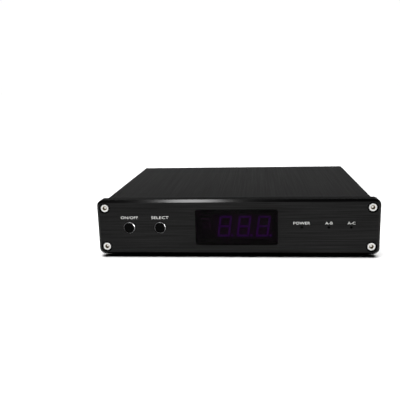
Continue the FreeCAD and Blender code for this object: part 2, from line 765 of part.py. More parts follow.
def build_switches():
    """The two push switches on the front board, each with a bore for its button's stem."""
    switch = new_body("switch_master")
    outline = sketch_at_depth(switch, "switch_outline", SWITCH_FRONT)
    half = "Sizes.switch_width / 2"
    draw_box(outline, f"-{half}", half, f"-{half}", half)
    pad(switch, outline, "Sizes.switch_depth", reverse=True)
    bore = sketch_at_depth(switch, "switch_bore", SWITCH_FRONT)
    draw_circle(bore, "0", "0", "Sizes.button_stem_radius + Sizes.switch_bore_clearance")
    pocket(switch, bore, "Sizes.switch_bore_depth")
    keep_copies("tact_switches", [(switch, x, "0", AXIS_Z, UPRIGHT) for x in BUTTON_PLACES])


def build_window():
    """The flush display window, seated on the panel's lip."""
    body = new_body("display_window")
    outline = sketch_at_depth(body, "window_outline", "Sizes.window_sink")
    draw_round_box(outline, "Sizes.window_width / 2", "Sizes.window_height / 2", "Sizes.window_corner_radius")
    pad(body, outline, "Sizes.window_thickness", reverse=True)
    keep(body, z=AXIS_Z)


def build_display_module():
    """The three-digit module, standing on the front board and reaching the window's lip."""
    body = new_body("display_module")
    outline = sketch_at_depth(body, "module_outline", MODULE_FRONT)
    half_x = "Sizes.module_width / 2"
    half_z = "Sizes.module_height / 2"
    draw_box(outline, f"-{half_x}", half_x, f"-{half_z}", half_z)
    pad(body, outline, "Sizes.module_depth", reverse=True)
    keep(body, x="Sizes.module_offset", z=AXIS_Z)


def segment_outlines():
    """The seven pointed bars of one digit before slanting, each as six pairs of expressions."""
    bar = "Sizes.segment_width / 2"
    side = "(Sizes.digit_width / 2 - Sizes.segment_width / 2)"
    top = "(Sizes.digit_height / 2 - Sizes.segment_width / 2)"
    reach = f"({side} - Sizes.segment_gap)"
    outlines = []
    for level in (f"{top}", "0", f"-{top}"):
        outlines.append([
            (f"-{reach}", level), (f"-{reach} + {bar}", f"{level} + {bar}"),
            (f"{reach} - {bar}", f"{level} + {bar}"), (reach, level),
            (f"{reach} - {bar}", f"{level} - {bar}"), (f"-{reach} + {bar}", f"{level} - {bar}"),
        ])
    low = "Sizes.segment_gap"
    high = f"({top} - Sizes.segment_gap)"
    for sx, sz in both_signs():
        outlines.append([
            (f"{sx} * {side}", f"{sz} * {low}"), (f"{sx} * {side} + {bar}", f"{sz} * ({low} + {bar})"),
            (f"{sx} * {side} + {bar}", f"{sz} * ({high} - {bar})"), (f"{sx} * {side}", f"{sz} * {high}"),
            (f"{sx} * {side} - {bar}", f"{sz} * ({high} - {bar})"), (f"{sx} * {side} - {bar}", f"{sz} * ({low} + {bar})"),
        ])
    return outlines


def build_segments():
    """The slanted bars and decimal points on the module's face, as separate thin diffusers."""
    digit = new_body("digit_master")
    digit.AllowCompound = True
    bars = sketch_at_depth(digit, "digit_bars", MODULE_FRONT)
    lean = "tan(Sizes.digit_slant * 1 deg)"
    for outline in segment_outlines():
        draw_polygon(bars, [(f"{x} + ({z}) * {lean}", z) for x, z in outline])
    level = "-(Sizes.digit_height / 2 - Sizes.point_radius)"
    draw_circle(bars, f"Sizes.point_offset + {level} * {lean}", level, "Sizes.point_radius")
    pad(digit, bars, "Sizes.segment_thickness")
    middle = "(Sizes.digit_count - 1) / 2"
    digits = range(int(SIZES["digit_count"]))
    keep_copies("display_segments", [
        (digit, f"Sizes.module_offset + ({place} - {middle}) * Sizes.digit_pitch", "0", AXIS_Z, UPRIGHT)
        for place in digits
    ])


def build_receiver():
    """The infrared receiver at the left end of the window: a block with a domed lens."""
    block = doc.addObject("Part::Box", "receiver_block")
    block.setExpression("Length", "Sizes.receiver_width")
    block.setExpression("Width", "Sizes.receiver_depth")
    block.setExpression("Height", "Sizes.receiver_height")
    set_place(block, "-Sizes.receiver_width / 2", f"{FRONT_BOARD} - Sizes.receiver_depth", "-Sizes.receiver_height / 2")
    dome = doc.addObject("Part::Sphere", "receiver_dome")
    dome.setExpression("Radius", "Sizes.receiver_dome_radius")
    set_place(dome, "0", f"{FRONT_BOARD} - Sizes.receiver_depth", "0")
    receiver = doc.addObject("Part::Fuse", "infrared_receiver")
    receiver.Base = block
    receiver.Tool = dome
    receiver.Label = "infrared_receiver"
    x = "Sizes.receiver_width / 2 - Sizes.module_offset - Sizes.module_width / 2"
    keep(receiver, x=x, z=AXIS_Z)


def build_lights():
    """The light guides through the panel, each held by a flange behind it, and a light behind each guide."""
    led_front = f"({FRONT_BOARD} - Sizes.led_depth)"
    flange_back = "(Sizes.panel_thickness + Sizes.light_flange_thickness)"
    guide = turned_piece("light_guide_master", [
        ("0", "Sizes.light_sink"),
        ("Sizes.light_radius", "Sizes.light_sink"),
        ("Sizes.light_radius", "Sizes.panel_thickness"),
        ("Sizes.light_flange_radius", "Sizes.panel_thickness"),
        ("Sizes.light_flange_radius", flange_back),
        ("Sizes.light_radius", flange_back),
        ("Sizes.light_radius", led_front),
        ("0", led_front),
    ])
    keep_copies("light_guides", [(guide, x, "0", AXIS_Z, UPRIGHT) for x in LIGHT_PLACES])
    led = new_body("led_master")
    outline = sketch_at_depth(led, "led_outline", led_front)
    draw_box(outline, "-Sizes.led_width / 2", "Sizes.led_width / 2", "-Sizes.led_height / 2", "Sizes.led_height / 2")
    pad(led, outline, "Sizes.led_depth", reverse=True)
    keep_copies("indicator_leds", [(led, x, "0", AXIS_Z, UPRIGHT) for x in LIGHT_PLACES])


def build_front_board():
    """The front board, behind the panel on four round spacers."""
    body = new_body("front_board")
    outline = sketch_at_depth(body, "front_board_outline", FRONT_BOARD)
    half_z = "Sizes.front_board_height / 2"
    draw_box(outline, f"-{BOARD_HALF}", BOARD_HALF, f"-{half_z}", half_z)
    pad(body, outline, "Sizes.board_thickness", reverse=True)
    hole = "Sizes.front_board_screw_shank_radius + Sizes.screw_clearance"
    holes = sketch_at_depth(body, "front_board_holes", FRONT_BOARD)
    for x, z in front_board_screw_places():
        draw_circle(holes, x, z, hole)
    pocket(body, holes, "Sizes.board_thickness")
    keep(body, z=AXIS_Z)
    spacer = turned_piece("spacer_master", [
        (hole, "Sizes.panel_thickness"),
        ("Sizes.front_spacer_radius", "Sizes.panel_thickness"),
        ("Sizes.front_spacer_radius", FRONT_BOARD),
        (hole, FRONT_BOARD),
    ])
    keep_copies("front_board_spacers", [(spacer, x, "0", f"{AXIS_Z} + {z}", UPRIGHT)
                                        for x, z in front_board_screw_places()])


# ---------------------------------------------------------------- main board


def build_main_board():
    """The main board with a tab under the supply inlet, on four hexagonal standoffs."""
    body = new_body("main_board")
    outline = new_sketch(body, "main_board_outline", "XY_Plane", BOARD_BOTTOM)
    tab_start = f"({JACK_X} - Sizes.jack_width / 2 - Sizes.jack_tab_side)"
    tab_back = f"({CASE_END} - Sizes.board_edge_gap)"
    draw_polygon(outline, [
        (f"-{BOARD_HALF}", MAIN_START), (BOARD_HALF, MAIN_START), (BOARD_HALF, tab_back),
        (tab_start, tab_back), (tab_start, MAIN_END), (f"-{BOARD_HALF}", MAIN_END),
    ])
    pad(body, outline, "Sizes.board_thickness")
    holes = new_sketch(body, "main_board_holes", "XY_Plane", BOARD_TOP)
    for x, y in standoff_places():
        draw_circle(holes, x, y, "Sizes.board_screw_shank_radius + Sizes.screw_clearance")
    pocket(body, holes, "Sizes.board_thickness")
    keep(body)
    standoff = new_body("standoff_master")
    hexagon = new_sketch(standoff, "standoff_hexagon", "XY_Plane")
    draw_hexagon(hexagon, "Sizes.standoff_across")
    draw_circle(hexagon, "0", "0", "Sizes.board_screw_shank_radius + Sizes.tapped_clearance")
    pad(standoff, hexagon, "Sizes.standoff_height")
    keep_copies("board_standoffs", [(standoff, x, y, FLOOR_TOP, UPRIGHT) for x, y in standoff_places()])


def block_master(name, width, length, height, chamfer=None):
    """A block about its own centre, standing on Z = 0, with its upper edges chamfered where that is wanted."""
    body = new_body(f"{name}_master")
    outline = new_sketch(body, f"{name}_outline", "XY_Plane")
    draw_box(outline, f"-{width} / 2", f"{width} / 2", f"-{length} / 2", f"{length} / 2")
    block = pad(body, outline, height)
    if chamfer:
        dress(body, "Chamfer", block, at_coordinate(2, height), chamfer)
    return body


def build_board_parts():
    """Relays, capacitors, control chips and the voltage regulator, all standing on the main board."""
    relay = block_master("relay", "Sizes.relay_width", "Sizes.relay_length", "Sizes.relay_height", "Sizes.relay_chamfer")
    relay_y = f"{MAIN_START} + Sizes.relay_offset_y + Sizes.relay_length / 2"
    keep_copies("relays", [(relay, f"Sizes.relay_offset_x + {step} * Sizes.relay_pitch", relay_y, BOARD_TOP, UPRIGHT)
                           for step in (-1.5, -0.5, 0.5, 1.5)])
    capacitor = turned_piece("capacitor_master", [
        ("0", "0"), ("Sizes.capacitor_radius", "0"),
        ("Sizes.capacitor_radius", "Sizes.capacitor_height - Sizes.capacitor_radius * 0.15"),
        ("Sizes.capacitor_radius * 0.85", "Sizes.capacitor_height"), ("0", "Sizes.capacitor_height"),
    ], plane="XZ_Plane")
    keep_copies("capacitors", [
        (capacitor, f"{BOARD_HALF} - Sizes.capacitor_offset_x",
         f"{MAIN_START} + Sizes.capacitor_offset_y + {step} * Sizes.capacitor_pitch", BOARD_TOP, UPRIGHT)
        for step in (0, 1)
    ])
    chip = block_master("chip", "Sizes.chip_width", "Sizes.chip_length", "Sizes.chip_height")
    keep_copies("control_chips", [(chip, f"{side} * Sizes.chip_offset_x", f"{MAIN_START} + Sizes.chip_offset_y",
                                   BOARD_TOP, UPRIGHT) for side in (1, -1)])
    build_regulator()


def build_regulator():
    """The voltage regulator: a moulded block in front of its cooling tab."""
    body = new_body("voltage_regulator")
    half = "Sizes.regulator_width / 2"
    block = new_sketch(body, "regulator_block", "XY_Plane")
    draw_box(block, f"-{half}", half, "-Sizes.regulator_depth", "0")
    pad(body, block, "Sizes.regulator_height")
    tab = new_sketch(body, "regulator_tab", "XY_Plane")
    draw_box(tab, f"-{half}", half, "-Sizes.regulator_tab_thickness", "0")
    pad(body, tab, "Sizes.regulator_tab_height")
    hole = sketch_at_depth(body, "regulator_hole", "0")
    draw_circle(hole, "0", "(Sizes.regulator_height + Sizes.regulator_tab_height) / 2", "Sizes.regulator_hole_radius")
    pocket(body, hole, "Sizes.regulator_tab_thickness", reverse=True)
    back = f"{HEADER_FRONT} - Sizes.regulator_header_gap"
    keep(body, x=f"{BOARD_HALF} - Sizes.regulator_offset_x", y=back, z=BOARD_TOP)


def build_ribbon():
    """The ribbon cable between the two boards, bent once, with a connector at each end."""
    half = "Sizes.connector_width / 2"
    thick = "Sizes.connector_thickness / 2"
    front = new_body("front_connector")
    outline = sketch_at_depth(front, "front_connector_outline", FRONT_BOARD_BACK)
    draw_box(outline, f"-{half}", half, f"-{thick}", thick)
    pad(front, outline, "Sizes.connector_depth", reverse=True)
    main = block_master("main_connector", "Sizes.connector_width", "Sizes.connector_thickness", "Sizes.connector_depth")
    keep_copies("ribbon_connectors", [
        (front, "0", "0", CONNECTOR_Z, UPRIGHT), (main, "0", RIBBON_DROP, BOARD_TOP, UPRIGHT),
    ])
    ribbon = new_body("ribbon_cable")
    path = new_sketch(ribbon, "ribbon_outline", "YZ_Plane", "-Sizes.ribbon_width / 2")
    side = "Sizes.ribbon_thickness / 2"
    start = f"({FRONT_BOARD_BACK} + Sizes.connector_depth)"
    end = f"({BOARD_TOP} + Sizes.connector_depth)"
    draw_polygon(path, [
        (start, f"{CONNECTOR_Z} - {side}"), (f"{RIBBON_DROP} - {side}", f"{CONNECTOR_Z} - {side}"),
        (f"{RIBBON_DROP} - {side}", end), (f"{RIBBON_DROP} + {side}", end),
        (f"{RIBBON_DROP} + {side}", f"{CONNECTOR_Z} + {side}"), (start, f"{CONNECTOR_Z} + {side}"),
    ])
    band = pad(ribbon, path, "Sizes.ribbon_width")
    for sign, name in ((1, "outer"), (-1, "inner")):
        y = evaluate(f"{RIBBON_DROP} + {sign} * {side}")
        z = evaluate(f"{CONNECTOR_Z} + {sign} * {side}")

        def is_bend(edge, y=y, z=z):
            return all(abs(v.Y - y) < 1e-4 and abs(v.Z - z) < 1e-4 for v in edge.Vertexes)

        band = dress(ribbon, "Fillet", band, is_bend, f"Sizes.ribbon_bend_radius + {sign} * {side}")
        band.Label = f"ribbon_{name}_bend"
    keep(ribbon)


def build_jack():
    """The supply inlet: a block on the board's tab, its nose flush with the rear panel, and its contact pin."""
    body = new_body("dc_jack")
    half = "Sizes.jack_width / 2"
    block = sketch_at_depth(body, "jack_block", f"{CASE_END} - Sizes.jack_depth")
    draw_box(block, f"-{half}", half, "-Sizes.jack_axis_height", "Sizes.jack_height - Sizes.jack_axis_height")
    pad(body, block, "Sizes.jack_depth", reverse=True)
    nose = sketch_at_depth(body, "jack_nose", CASE_END)
    draw_circle(nose, "0", "0", "Sizes.jack_nose_radius")
    pad(body, nose, "Sizes.rear_panel_thickness", reverse=True)
    bore = sketch_at_depth(body, "jack_bore", REAR_FACE)
    draw_circle(bore, "0", "0", "Sizes.jack_bore_radius")
    pocket(body, bore, "Sizes.jack_bore_depth", reverse=True)
    keep(body, x=JACK_X, z=JACK_Z)
    root = f"({REAR_FACE} - Sizes.jack_bore_depth)"
    tip = f"({REAR_FACE} - Sizes.jack_pin_sink)"
    pin = turned_piece("dc_jack_pin", [
        ("0", root), ("Sizes.jack_pin_radius", root),
        ("Sizes.jack_pin_radius", f"{tip} - Sizes.jack_pin_radius * 0.5"),
        ("Sizes.jack_pin_radius * 0.5", tip), ("0", tip),
    ])
    keep(pin, x=JACK_X, z=JACK_Z)


# ---------------------------------------------------------------- binding posts


def build_stem():
    """A post's brass stem along Y from the rear face: thread, plug socket, cross hole, solder tail."""
    inside = "(Sizes.rear_panel_thickness + Sizes.stem_thread_inside)"
    tail = f"({inside} + Sizes.stem_tail_length)"
    floor = "(Sizes.stem_length - Sizes.socket_depth)"
    body = turned_piece("stem_master", [
        ("0", f"-{tail}"), ("Sizes.stem_tail_radius", f"-{tail}"), ("Sizes.stem_tail_radius", f"-{inside}"),
        ("Sizes.stem_radius", f"-{inside}"), ("Sizes.stem_radius", "Sizes.stem_length - Sizes.stem_end_chamfer"),
        ("Sizes.stem_radius - Sizes.stem_end_chamfer", "Sizes.stem_length"),
        ("Sizes.socket_radius", "Sizes.stem_length"), ("Sizes.socket_radius", floor), ("0", floor),
    ])
    cross = new_sketch(body, "stem_cross_hole", "YZ_Plane")
    draw_circle(cross, "Sizes.wire_hole_place", "0", "Sizes.wire_hole_radius")
    pocket(body, cross, "Sizes.stem_radius * 4", both_ways=True)
    return body


def build_post_hardware():
    """Flange with its sleeve, inner washer and nut of one post; each is clear of the stem by the thread's play."""
    bore = "(Sizes.stem_radius + Sizes.thread_clearance)"
    panel = "-Sizes.rear_panel_thickness"
    flange = turned_piece("flange_master", [
        (bore, panel), ("Sizes.sleeve_radius", panel), ("Sizes.sleeve_radius", "0"), ("Sizes.flange_radius", "0"),
        ("Sizes.flange_radius", "Sizes.flange_thickness - Sizes.flange_chamfer"),
        ("Sizes.flange_radius - Sizes.flange_chamfer", "Sizes.flange_thickness"), (bore, "Sizes.flange_thickness"),
    ])
    washer_front = f"({panel} - Sizes.washer_thickness)"
    washer = turned_piece("washer_master", [
        (bore, washer_front), ("Sizes.washer_radius", washer_front), ("Sizes.washer_radius", panel), (bore, panel),
    ])
    nut = new_body("nut_master")
    hexagon = sketch_at_depth(nut, "nut_hexagon", f"{washer_front} - Sizes.nut_thickness")
    draw_hexagon(hexagon, "Sizes.nut_across")
    draw_circle(hexagon, "0", "0", bore)
    pad(nut, hexagon, "Sizes.nut_thickness", reverse=True)
    return flange, washer, nut


def build_cap():
    """A post's fluted cap along Y: a collar by the panel, flutes to the end, a plug hole in the end wall."""
    start = "(Sizes.flange_thickness + Sizes.cap_gap)"
    wall = f"({CAP_END} - Sizes.cap_end_wall)"
    hollow = "(Sizes.insert_radius + Sizes.insert_clearance)"
    body = turned_piece("cap_master", [
        (hollow, start), ("Sizes.cap_radius", start), ("Sizes.cap_radius", f"{CAP_END} - Sizes.cap_end_chamfer"),
        ("Sizes.cap_radius - Sizes.cap_end_chamfer", CAP_END), ("Sizes.cap_end_hole_radius", CAP_END),
        ("Sizes.cap_end_hole_radius", wall), (hollow, wall),
    ])
    flute = sketch_at_depth(body, "cap_flute", CAP_END)
    reach = "Sizes.cap_radius - Sizes.flute_depth + Sizes.flute_radius"
    draw_circle(flute, reach, "0", "Sizes.flute_radius")
    groove = pocket(body, flute, "Sizes.cap_length - Sizes.cap_collar", reverse=True)
    ring = body.newObject("PartDesign::PolarPattern", "cap_flutes")
    ring.Originals = [groove]
    ring.Axis = (next(item for item in body.Origin.OriginFeatures if item.Role == "Y_Axis"), [""])
    ring.Angle = 360
    ring.setExpression("Occurrences", "Sizes.flute_count")
    body.Tip = ring
    doc.recompute()
    return body


def build_posts():
    """Twelve binding posts: shared sets of the fixed pieces, and a cap with its threaded insert for each."""
    flange, washer, nut = build_post_hardware()
    stem = build_stem()
    places = post_places()
    fixed = (("post_stems", stem), ("post_flanges", flange), ("post_washers", washer), ("post_nuts", nut))
    for name, master in fixed:
        keep_copies(name, [(master, x, REAR_FACE, z, UPRIGHT) for _post, x, z, _row in places])
    cap = build_cap()
    start = "(Sizes.flange_thickness + Sizes.cap_gap + Sizes.insert_inset)"
    end = f"({start} + Sizes.insert_length)"
    bore = "(Sizes.stem_radius + Sizes.thread_clearance)"
    insert = turned_piece("insert_master", [
        (bore, start), ("Sizes.insert_radius", start), ("Sizes.insert_radius", end), (bore, end),
    ])
    for post, x, z, _row in places:
        keep(copy_of(f"post_cap_{post}", cap), x, REAR_FACE, z)
        keep(copy_of(f"post_insert_{post}", insert), x, REAR_FACE, z)


def build_wires():
    """A wire from each post's tail: the lower ones straight into a header, the upper ones bent down onto it."""
    header = block_master("header", "Sizes.header_width", "Sizes.header_depth", "Sizes.header_height")
    columns = [x for _post, x, _z, row in post_places() if row > 0]
    header_y = f"{HEADER_BACK} - Sizes.header_depth / 2"
    keep_copies("wire_headers", [(header, x, header_y, BOARD_TOP, UPRIGHT) for x in columns])
    lower = doc.addObject("Part::Cylinder", "lower_wire")
    lower.setExpression("Radius", "Sizes.wire_radius")
    lower.setExpression("Height", f"{TAIL_END} - {HEADER_BACK}")
    upper = build_upper_wire(header_y)
    wires = []
    for _post, x, z, row in post_places():
        if row > 0:
            wires.append((upper, x, "0", "0", UPRIGHT))
        else:
            wires.append((lower, x, HEADER_BACK, z, QUARTER_BACK_X))
    keep_copies("speaker_wires", wires)


def build_upper_wire(drop):
    """The bent wire of the upper row: a straight run, one arc, and a drop onto the header."""
    level = f"({AXIS_Z} + Sizes.row_pitch / 2)"
    bend = "Sizes.wire_bend_radius"
    corner = f"({drop})"
    body = new_body("upper_wire")
    route = new_sketch(body, "wire_route", "YZ_Plane")
    tail = V(evaluate(TAIL_END), evaluate(level), 0)
    bend_start = V(evaluate(f"{corner} + {bend}"), evaluate(level), 0)
    bend_end = V(evaluate(corner), evaluate(f"{level} - {bend}"), 0)
    foot = V(evaluate(corner), evaluate(HEADER_TOP), 0)
    ring = Part.Circle(V(bend_start.x, bend_end.y, 0), V(0, 0, 1), evaluate(bend))
    route.addGeometry(Part.LineSegment(tail, bend_start), False)
    route.addGeometry(Part.ArcOfCircle(ring, math.pi / 2, math.pi), False)
    route.addGeometry(Part.LineSegment(bend_end, foot), False)
    route.addConstraint(Sketcher.Constraint("Coincident", 0, 2, 1, 1))
    route.addConstraint(Sketcher.Constraint("Coincident", 1, 2, 2, 1))
    pin_point(route, 0, 1, TAIL_END, level)
    pin_point(route, 0, 2, f"{corner} + {bend}", level)
    pin_point(route, 2, 1, corner, f"{level} - {bend}")
    pin_point(route, 2, 2, corner, HEADER_TOP)
    pin_radius(route, 1, bend)
    section = sketch_at_depth(body, "wire_section", TAIL_END)
    draw_circle(section, "0", level, "Sizes.wire_radius")
    doc.recompute()
    pipe = body.newObject("PartDesign::AdditivePipe", "wire_run")
    pipe.Profile = section
    pipe.Spine = (route, ["Edge1", "Edge2", "Edge3"])
    doc.recompute()
    run = sum(edge.Length for edge in route.Shape.Edges)
    expected = math.pi * evaluate("Sizes.wire_radius") ** 2 * run
    if abs(pipe.Shape.Volume - expected) > 0.01 * expected:
        raise RuntimeError("the bent wire's volume is not its section times its length")
    return body


# ---------------------------------------------------------------- the whole object


def check_document():
    """Stop if any object of the document failed, or a sub-part is empty or not a valid solid."""
    doc.recompute()
    for item in doc.Objects:
        if "Invalid" in item.State or "Error" in item.State:
            raise RuntimeError(f"{item.Label} failed: {item.State}")
    for node in nodes:
        if node.Shape.isNull() or not node.Shape.isValid() or not node.Shape.Solids:
            raise RuntimeError(f"{node.Label} is not a valid solid")


def write_parts():
    """Write each sub-part to its own STEP file."""
    os.makedirs("parts", exist_ok=True)
    for node in nodes:
        node.Shape.exportStep(f"parts/{node.Label}.step")


build_front_panel()
build_case()
build_rear_panel()
build_feet()
build_screws()
build_buttons()
build_switches()
build_window()
build_display_module()
build_segments()
build_receiver()
build_lights()
build_front_board()
build_main_board()
build_board_parts()
build_ribbon()
build_jack()
build_posts()
build_wires()
check_document()
write_parts()
print(f"{len(nodes)} sub-parts written")
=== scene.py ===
"""Looks of the speaker selector switch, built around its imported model.

Lengths are metres unless a name or its description says mm.
"""

import logging
import math
from dataclasses import dataclass, field
from enum import Enum

import bmesh
import bpy
import numpy as np
from mathutils import Matrix, Vector


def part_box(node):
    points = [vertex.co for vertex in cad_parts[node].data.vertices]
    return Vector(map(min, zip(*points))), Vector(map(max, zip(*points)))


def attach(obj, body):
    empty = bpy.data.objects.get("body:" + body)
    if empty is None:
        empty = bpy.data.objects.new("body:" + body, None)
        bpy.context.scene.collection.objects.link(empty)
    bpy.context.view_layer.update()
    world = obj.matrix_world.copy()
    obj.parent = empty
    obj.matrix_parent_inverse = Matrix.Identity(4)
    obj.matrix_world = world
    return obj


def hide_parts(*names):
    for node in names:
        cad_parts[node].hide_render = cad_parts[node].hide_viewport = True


MM = 0.001
# The image's side in pixels, and the width of the camera's sensor in mm.
IMAGE_SIDE = 400
SENSOR = 36.0
# Nearly all of the noise lies in this range. It is the sum of this many octaves above the first.
NOISE_RANGE = (0.3, 0.7)
NOISE_DETAIL = 3.0
# Points of a new mesh that are closer together than this are merged.
MERGE_WITHIN = 1e-7
Tree = bpy.types.NodeTree
Socket = bpy.types.NodeSocket
Piece = bpy.types.Object
log = logging.getLogger("selector")

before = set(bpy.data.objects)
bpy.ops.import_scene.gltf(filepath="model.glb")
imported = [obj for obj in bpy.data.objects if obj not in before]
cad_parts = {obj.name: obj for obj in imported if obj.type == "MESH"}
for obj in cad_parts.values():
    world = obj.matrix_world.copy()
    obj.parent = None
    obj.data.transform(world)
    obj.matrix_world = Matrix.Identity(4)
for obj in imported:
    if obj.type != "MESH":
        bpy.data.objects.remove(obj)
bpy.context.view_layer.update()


# ---- shader tools


def srgb(code: str) -> tuple[float, float, float, float]:
    """Turn an sRGB hex colour into linear light.

    Each channel c is c / 12.92 below 0.04045, and ((c + 0.055) / 1.055) ^ 2.4 above it.

    Args:
        code: six hex digits after a "#".

    Returns:
        Red, green, blue and an alpha of one.
    """
    c = np.array([int(code[i:i + 2], 16) for i in (1, 3, 5)]) / 255
    linear = np.where(c <= 0.04045, c / 12.92, ((c + 0.055) / 1.055) ** 2.4)
    return (*map(float, linear), 1.0)


def add(tree: Tree, kind: str, inputs: dict | None = None, **settings: object) -> bpy.types.Node:
    """Add a shader node, set it up and link it.

    Args:
        tree: the node tree that gets the node.
        kind: the node's class name without "ShaderNode".
        inputs: per input name or number, a value or the output socket that feeds it.
        settings: the node's own properties.

    Returns:
        The new node.
    """
    made = tree.nodes.new("ShaderNode" + kind)
    for name, value in settings.items():
        setattr(made, name, value)
    for key, value in (inputs or {}).items():
        if isinstance(value, Socket):
            tree.links.new(value, made.inputs[key])
        else:
            made.inputs[key].default_value = value
    return made


def mix(tree: Tree, share: Socket, first: object, second: object) -> Socket:
    """Return the mix of two colours, or of the sockets that give them, by the second one's share."""
    return add(tree, "MixRGB", {"Fac": share, "Color1": first, "Color2": second}).outputs["Color"]


def remap(tree: Tree, value: Socket, new: tuple, old: tuple = (0.0, 1.0), **settings: object) -> Socket:
    """Return a value moved from an old range to a new one, each a pair of numbers or of their sockets."""
    ends = {"From Min": old[0], "From Max": old[1], "To Min": new[0], "To Max": new[1]}
    return add(tree, "MapRange", {"Value": value} | ends, **settings).outputs["Result"]


class Measure(Enum):
    """What a band of colour is counted along."""

    X = "X"
    RADIUS = "radius"


@dataclass(frozen=True)
class Finish:
    """A real surface: its substance and how it was made.

    Attributes:
        name: common name of the substance, and how its surface was made.
        low: colour of the pattern's dark parts.
        high: colour of its bright parts.
        rough: roughness of the dark parts and of the bright parts.
        cell: size of the pattern in mm along X, Y and Z.
        relief: height of the pattern in mm.
        metallic: one for a metal.
        sockets: further inputs of the shader, the same all over.
    """

    name: str
    low: str
    high: str
    rough: tuple[float, float]
    cell: tuple[float, float, float]
    relief: float = 0.0
    metallic: float = 0.0
    sockets: dict[str, object] = field(default_factory=dict)

    def place(self, tree: Tree) -> Socket:
        """Return the point's place in metres."""
        return add(tree, "TexCoord").outputs["Object"]

    def counted(self, tree: Tree, *size: float) -> Socket:
        """Return the place counted in cells of a size in mm along X, Y and Z."""
        scale = [1 / (length * MM) for length in size]
        return add(tree, "Mapping", {"Vector": self.place(tree), "Scale": scale}).outputs[0]

    def behind(self, tree: Tree, plane: float) -> Socket:
        """Return one behind a plane of Y in mm and zero before it."""
        depth = add(tree, "SeparateXYZ", {0: self.place(tree)}).outputs["Y"]
        return add(tree, "Math", {0: depth, 1: plane * MM}, operation="GREATER_THAN").outputs[0]

    def pattern(self, tree: Tree) -> Socket:
        """Return noise from 0 to 1 whose cells have the finish's size along each axis."""
        cells = self.counted(tree, *self.cell)
        return add(tree, "TexNoise", {"Vector": cells, "Scale": 1.0, "Detail": NOISE_DETAIL}).outputs["Fac"]

    def colour(self, tree: Tree, pattern: Socket) -> Socket:
        """Colour the pattern, from low to high over the range of the noise.

        Args:
            tree: the material's nodes.
            pattern: the noise.

        Returns:
            The colour.
        """
        ramp = add(tree, "ValToRGB", {"Fac": pattern})
        for stop, position, code in zip(ramp.color_ramp.elements, NOISE_RANGE, (self.low, self.high)):
            stop.position = position
            stop.color = srgb(code)
        return ramp.outputs["Color"]

    def shade(self, tree: Tree) -> bpy.types.Node:
        """Add the shader, with the colour, roughness and height of the pattern linked to it.

        Args:
            tree: the material's nodes.

        Returns:
            The shader.
        """
        pattern = self.pattern(tree)
        rough = remap(tree, pattern, self.rough, NOISE_RANGE)
        inputs = {"Base Color": self.colour(tree, pattern), "Roughness": rough, "Metallic": self.metallic}
        if self.relief:
            bump = add(tree, "Bump", {"Height": pattern, "Distance": self.relief * MM, "Strength": 1.0})
            inputs["Normal"] = bump.outputs["Normal"]
        return add(tree, "BsdfPrincipled", inputs | self.sockets)

    def material(self) -> bpy.types.Material:
        """Make the material of this finish on its first use.

        Returns:
            The material.
        """
        made = bpy.data.materials.get(self.name)
        if made is None:
            made = bpy.data.materials.new(self.name)
            made.use_nodes = True
            made.node_tree.nodes.clear()
            shader = self.shade(made.node_tree)
            add(made.node_tree, "OutputMaterial", {"Surface": shader.outputs[0]})
        return made

    def put_on(self, piece: Piece) -> None:
        """Give every material slot of a piece this finish.

        Args:
            piece: the piece, which gets a slot if it has none.
        """
        if not piece.material_slots:
            piece.data.materials.append(None)
        for held in piece.material_slots:
            held.material = self.material()


@dataclass(frozen=True)
class BandedFinish(Finish):
    """A finish with bands of a second colour.

    A point is in a band where (measure - start) / pitch, less its whole part, is under the share.

    Attributes:
        accent: colour of the bands.
        measure: what the bands are counted along.
        start: where the first band starts, in mm.
        pitch: from one band's start to the next, in mm.
        share: the band's part of the pitch.
        centre: the axis that a radius is measured from, its X and Z in metres.
        mirror: X and Z of two planes that the bands are mirrored in before they are measured.
    """

    accent: str = "#ffffff"
    measure: Measure = Measure.X
    start: float = 0.0
    pitch: float = 1.0
    share: float = 0.5
    centre: tuple[float, float] = (0.0, 0.0)
    mirror: tuple[float, float] | None = None

    def place(self, tree: Tree) -> Socket:
        """Add the point's place, or its distances from the mirror planes.

        Args:
            tree: the material's nodes.

        Returns:
            The place in metres.
        """
        plain = super().place(tree)
        if self.mirror is None:
            return plain
        moved = add(tree, "Mapping", {"Vector": plain, "Location": (-self.mirror[0], 0, -self.mirror[1])})
        return add(tree, "VectorMath", {0: moved.outputs[0]}, operation="ABSOLUTE").outputs["Vector"]

    def mask(self, tree: Tree) -> Socket:
        """Tell the bands from what is between them.

        Args:
            tree: the material's nodes.

        Returns:
            One in a band and zero between two.
        """
        if self.measure is Measure.RADIUS:
            moved = add(tree, "Mapping", {"Vector": self.place(tree), "Scale": (1, 0, 1),
                                          "Location": (-self.centre[0], 0, -self.centre[1])})
            along = add(tree, "VectorMath", {0: moved.outputs[0]}, operation="LENGTH").outputs["Value"]
        else:
            along = add(tree, "SeparateXYZ", {0: self.place(tree)}).outputs[self.measure.value]
        first = (self.start * MM, (self.start + self.pitch) * MM)
        count = remap(tree, along, (0.0, 1.0), first, clamp=False)
        part = add(tree, "Math", {0: count}, operation="FRACT")
        return add(tree, "Math", {0: part.outputs[0], 1: self.share}, operation="LESS_THAN").outputs[0]

    def colour(self, tree: Tree, pattern: Socket) -> Socket:
        """Return the plain colour between the bands and the accent in them."""
        return mix(tree, self.mask(tree), super().colour(tree, pattern), srgb(self.accent))


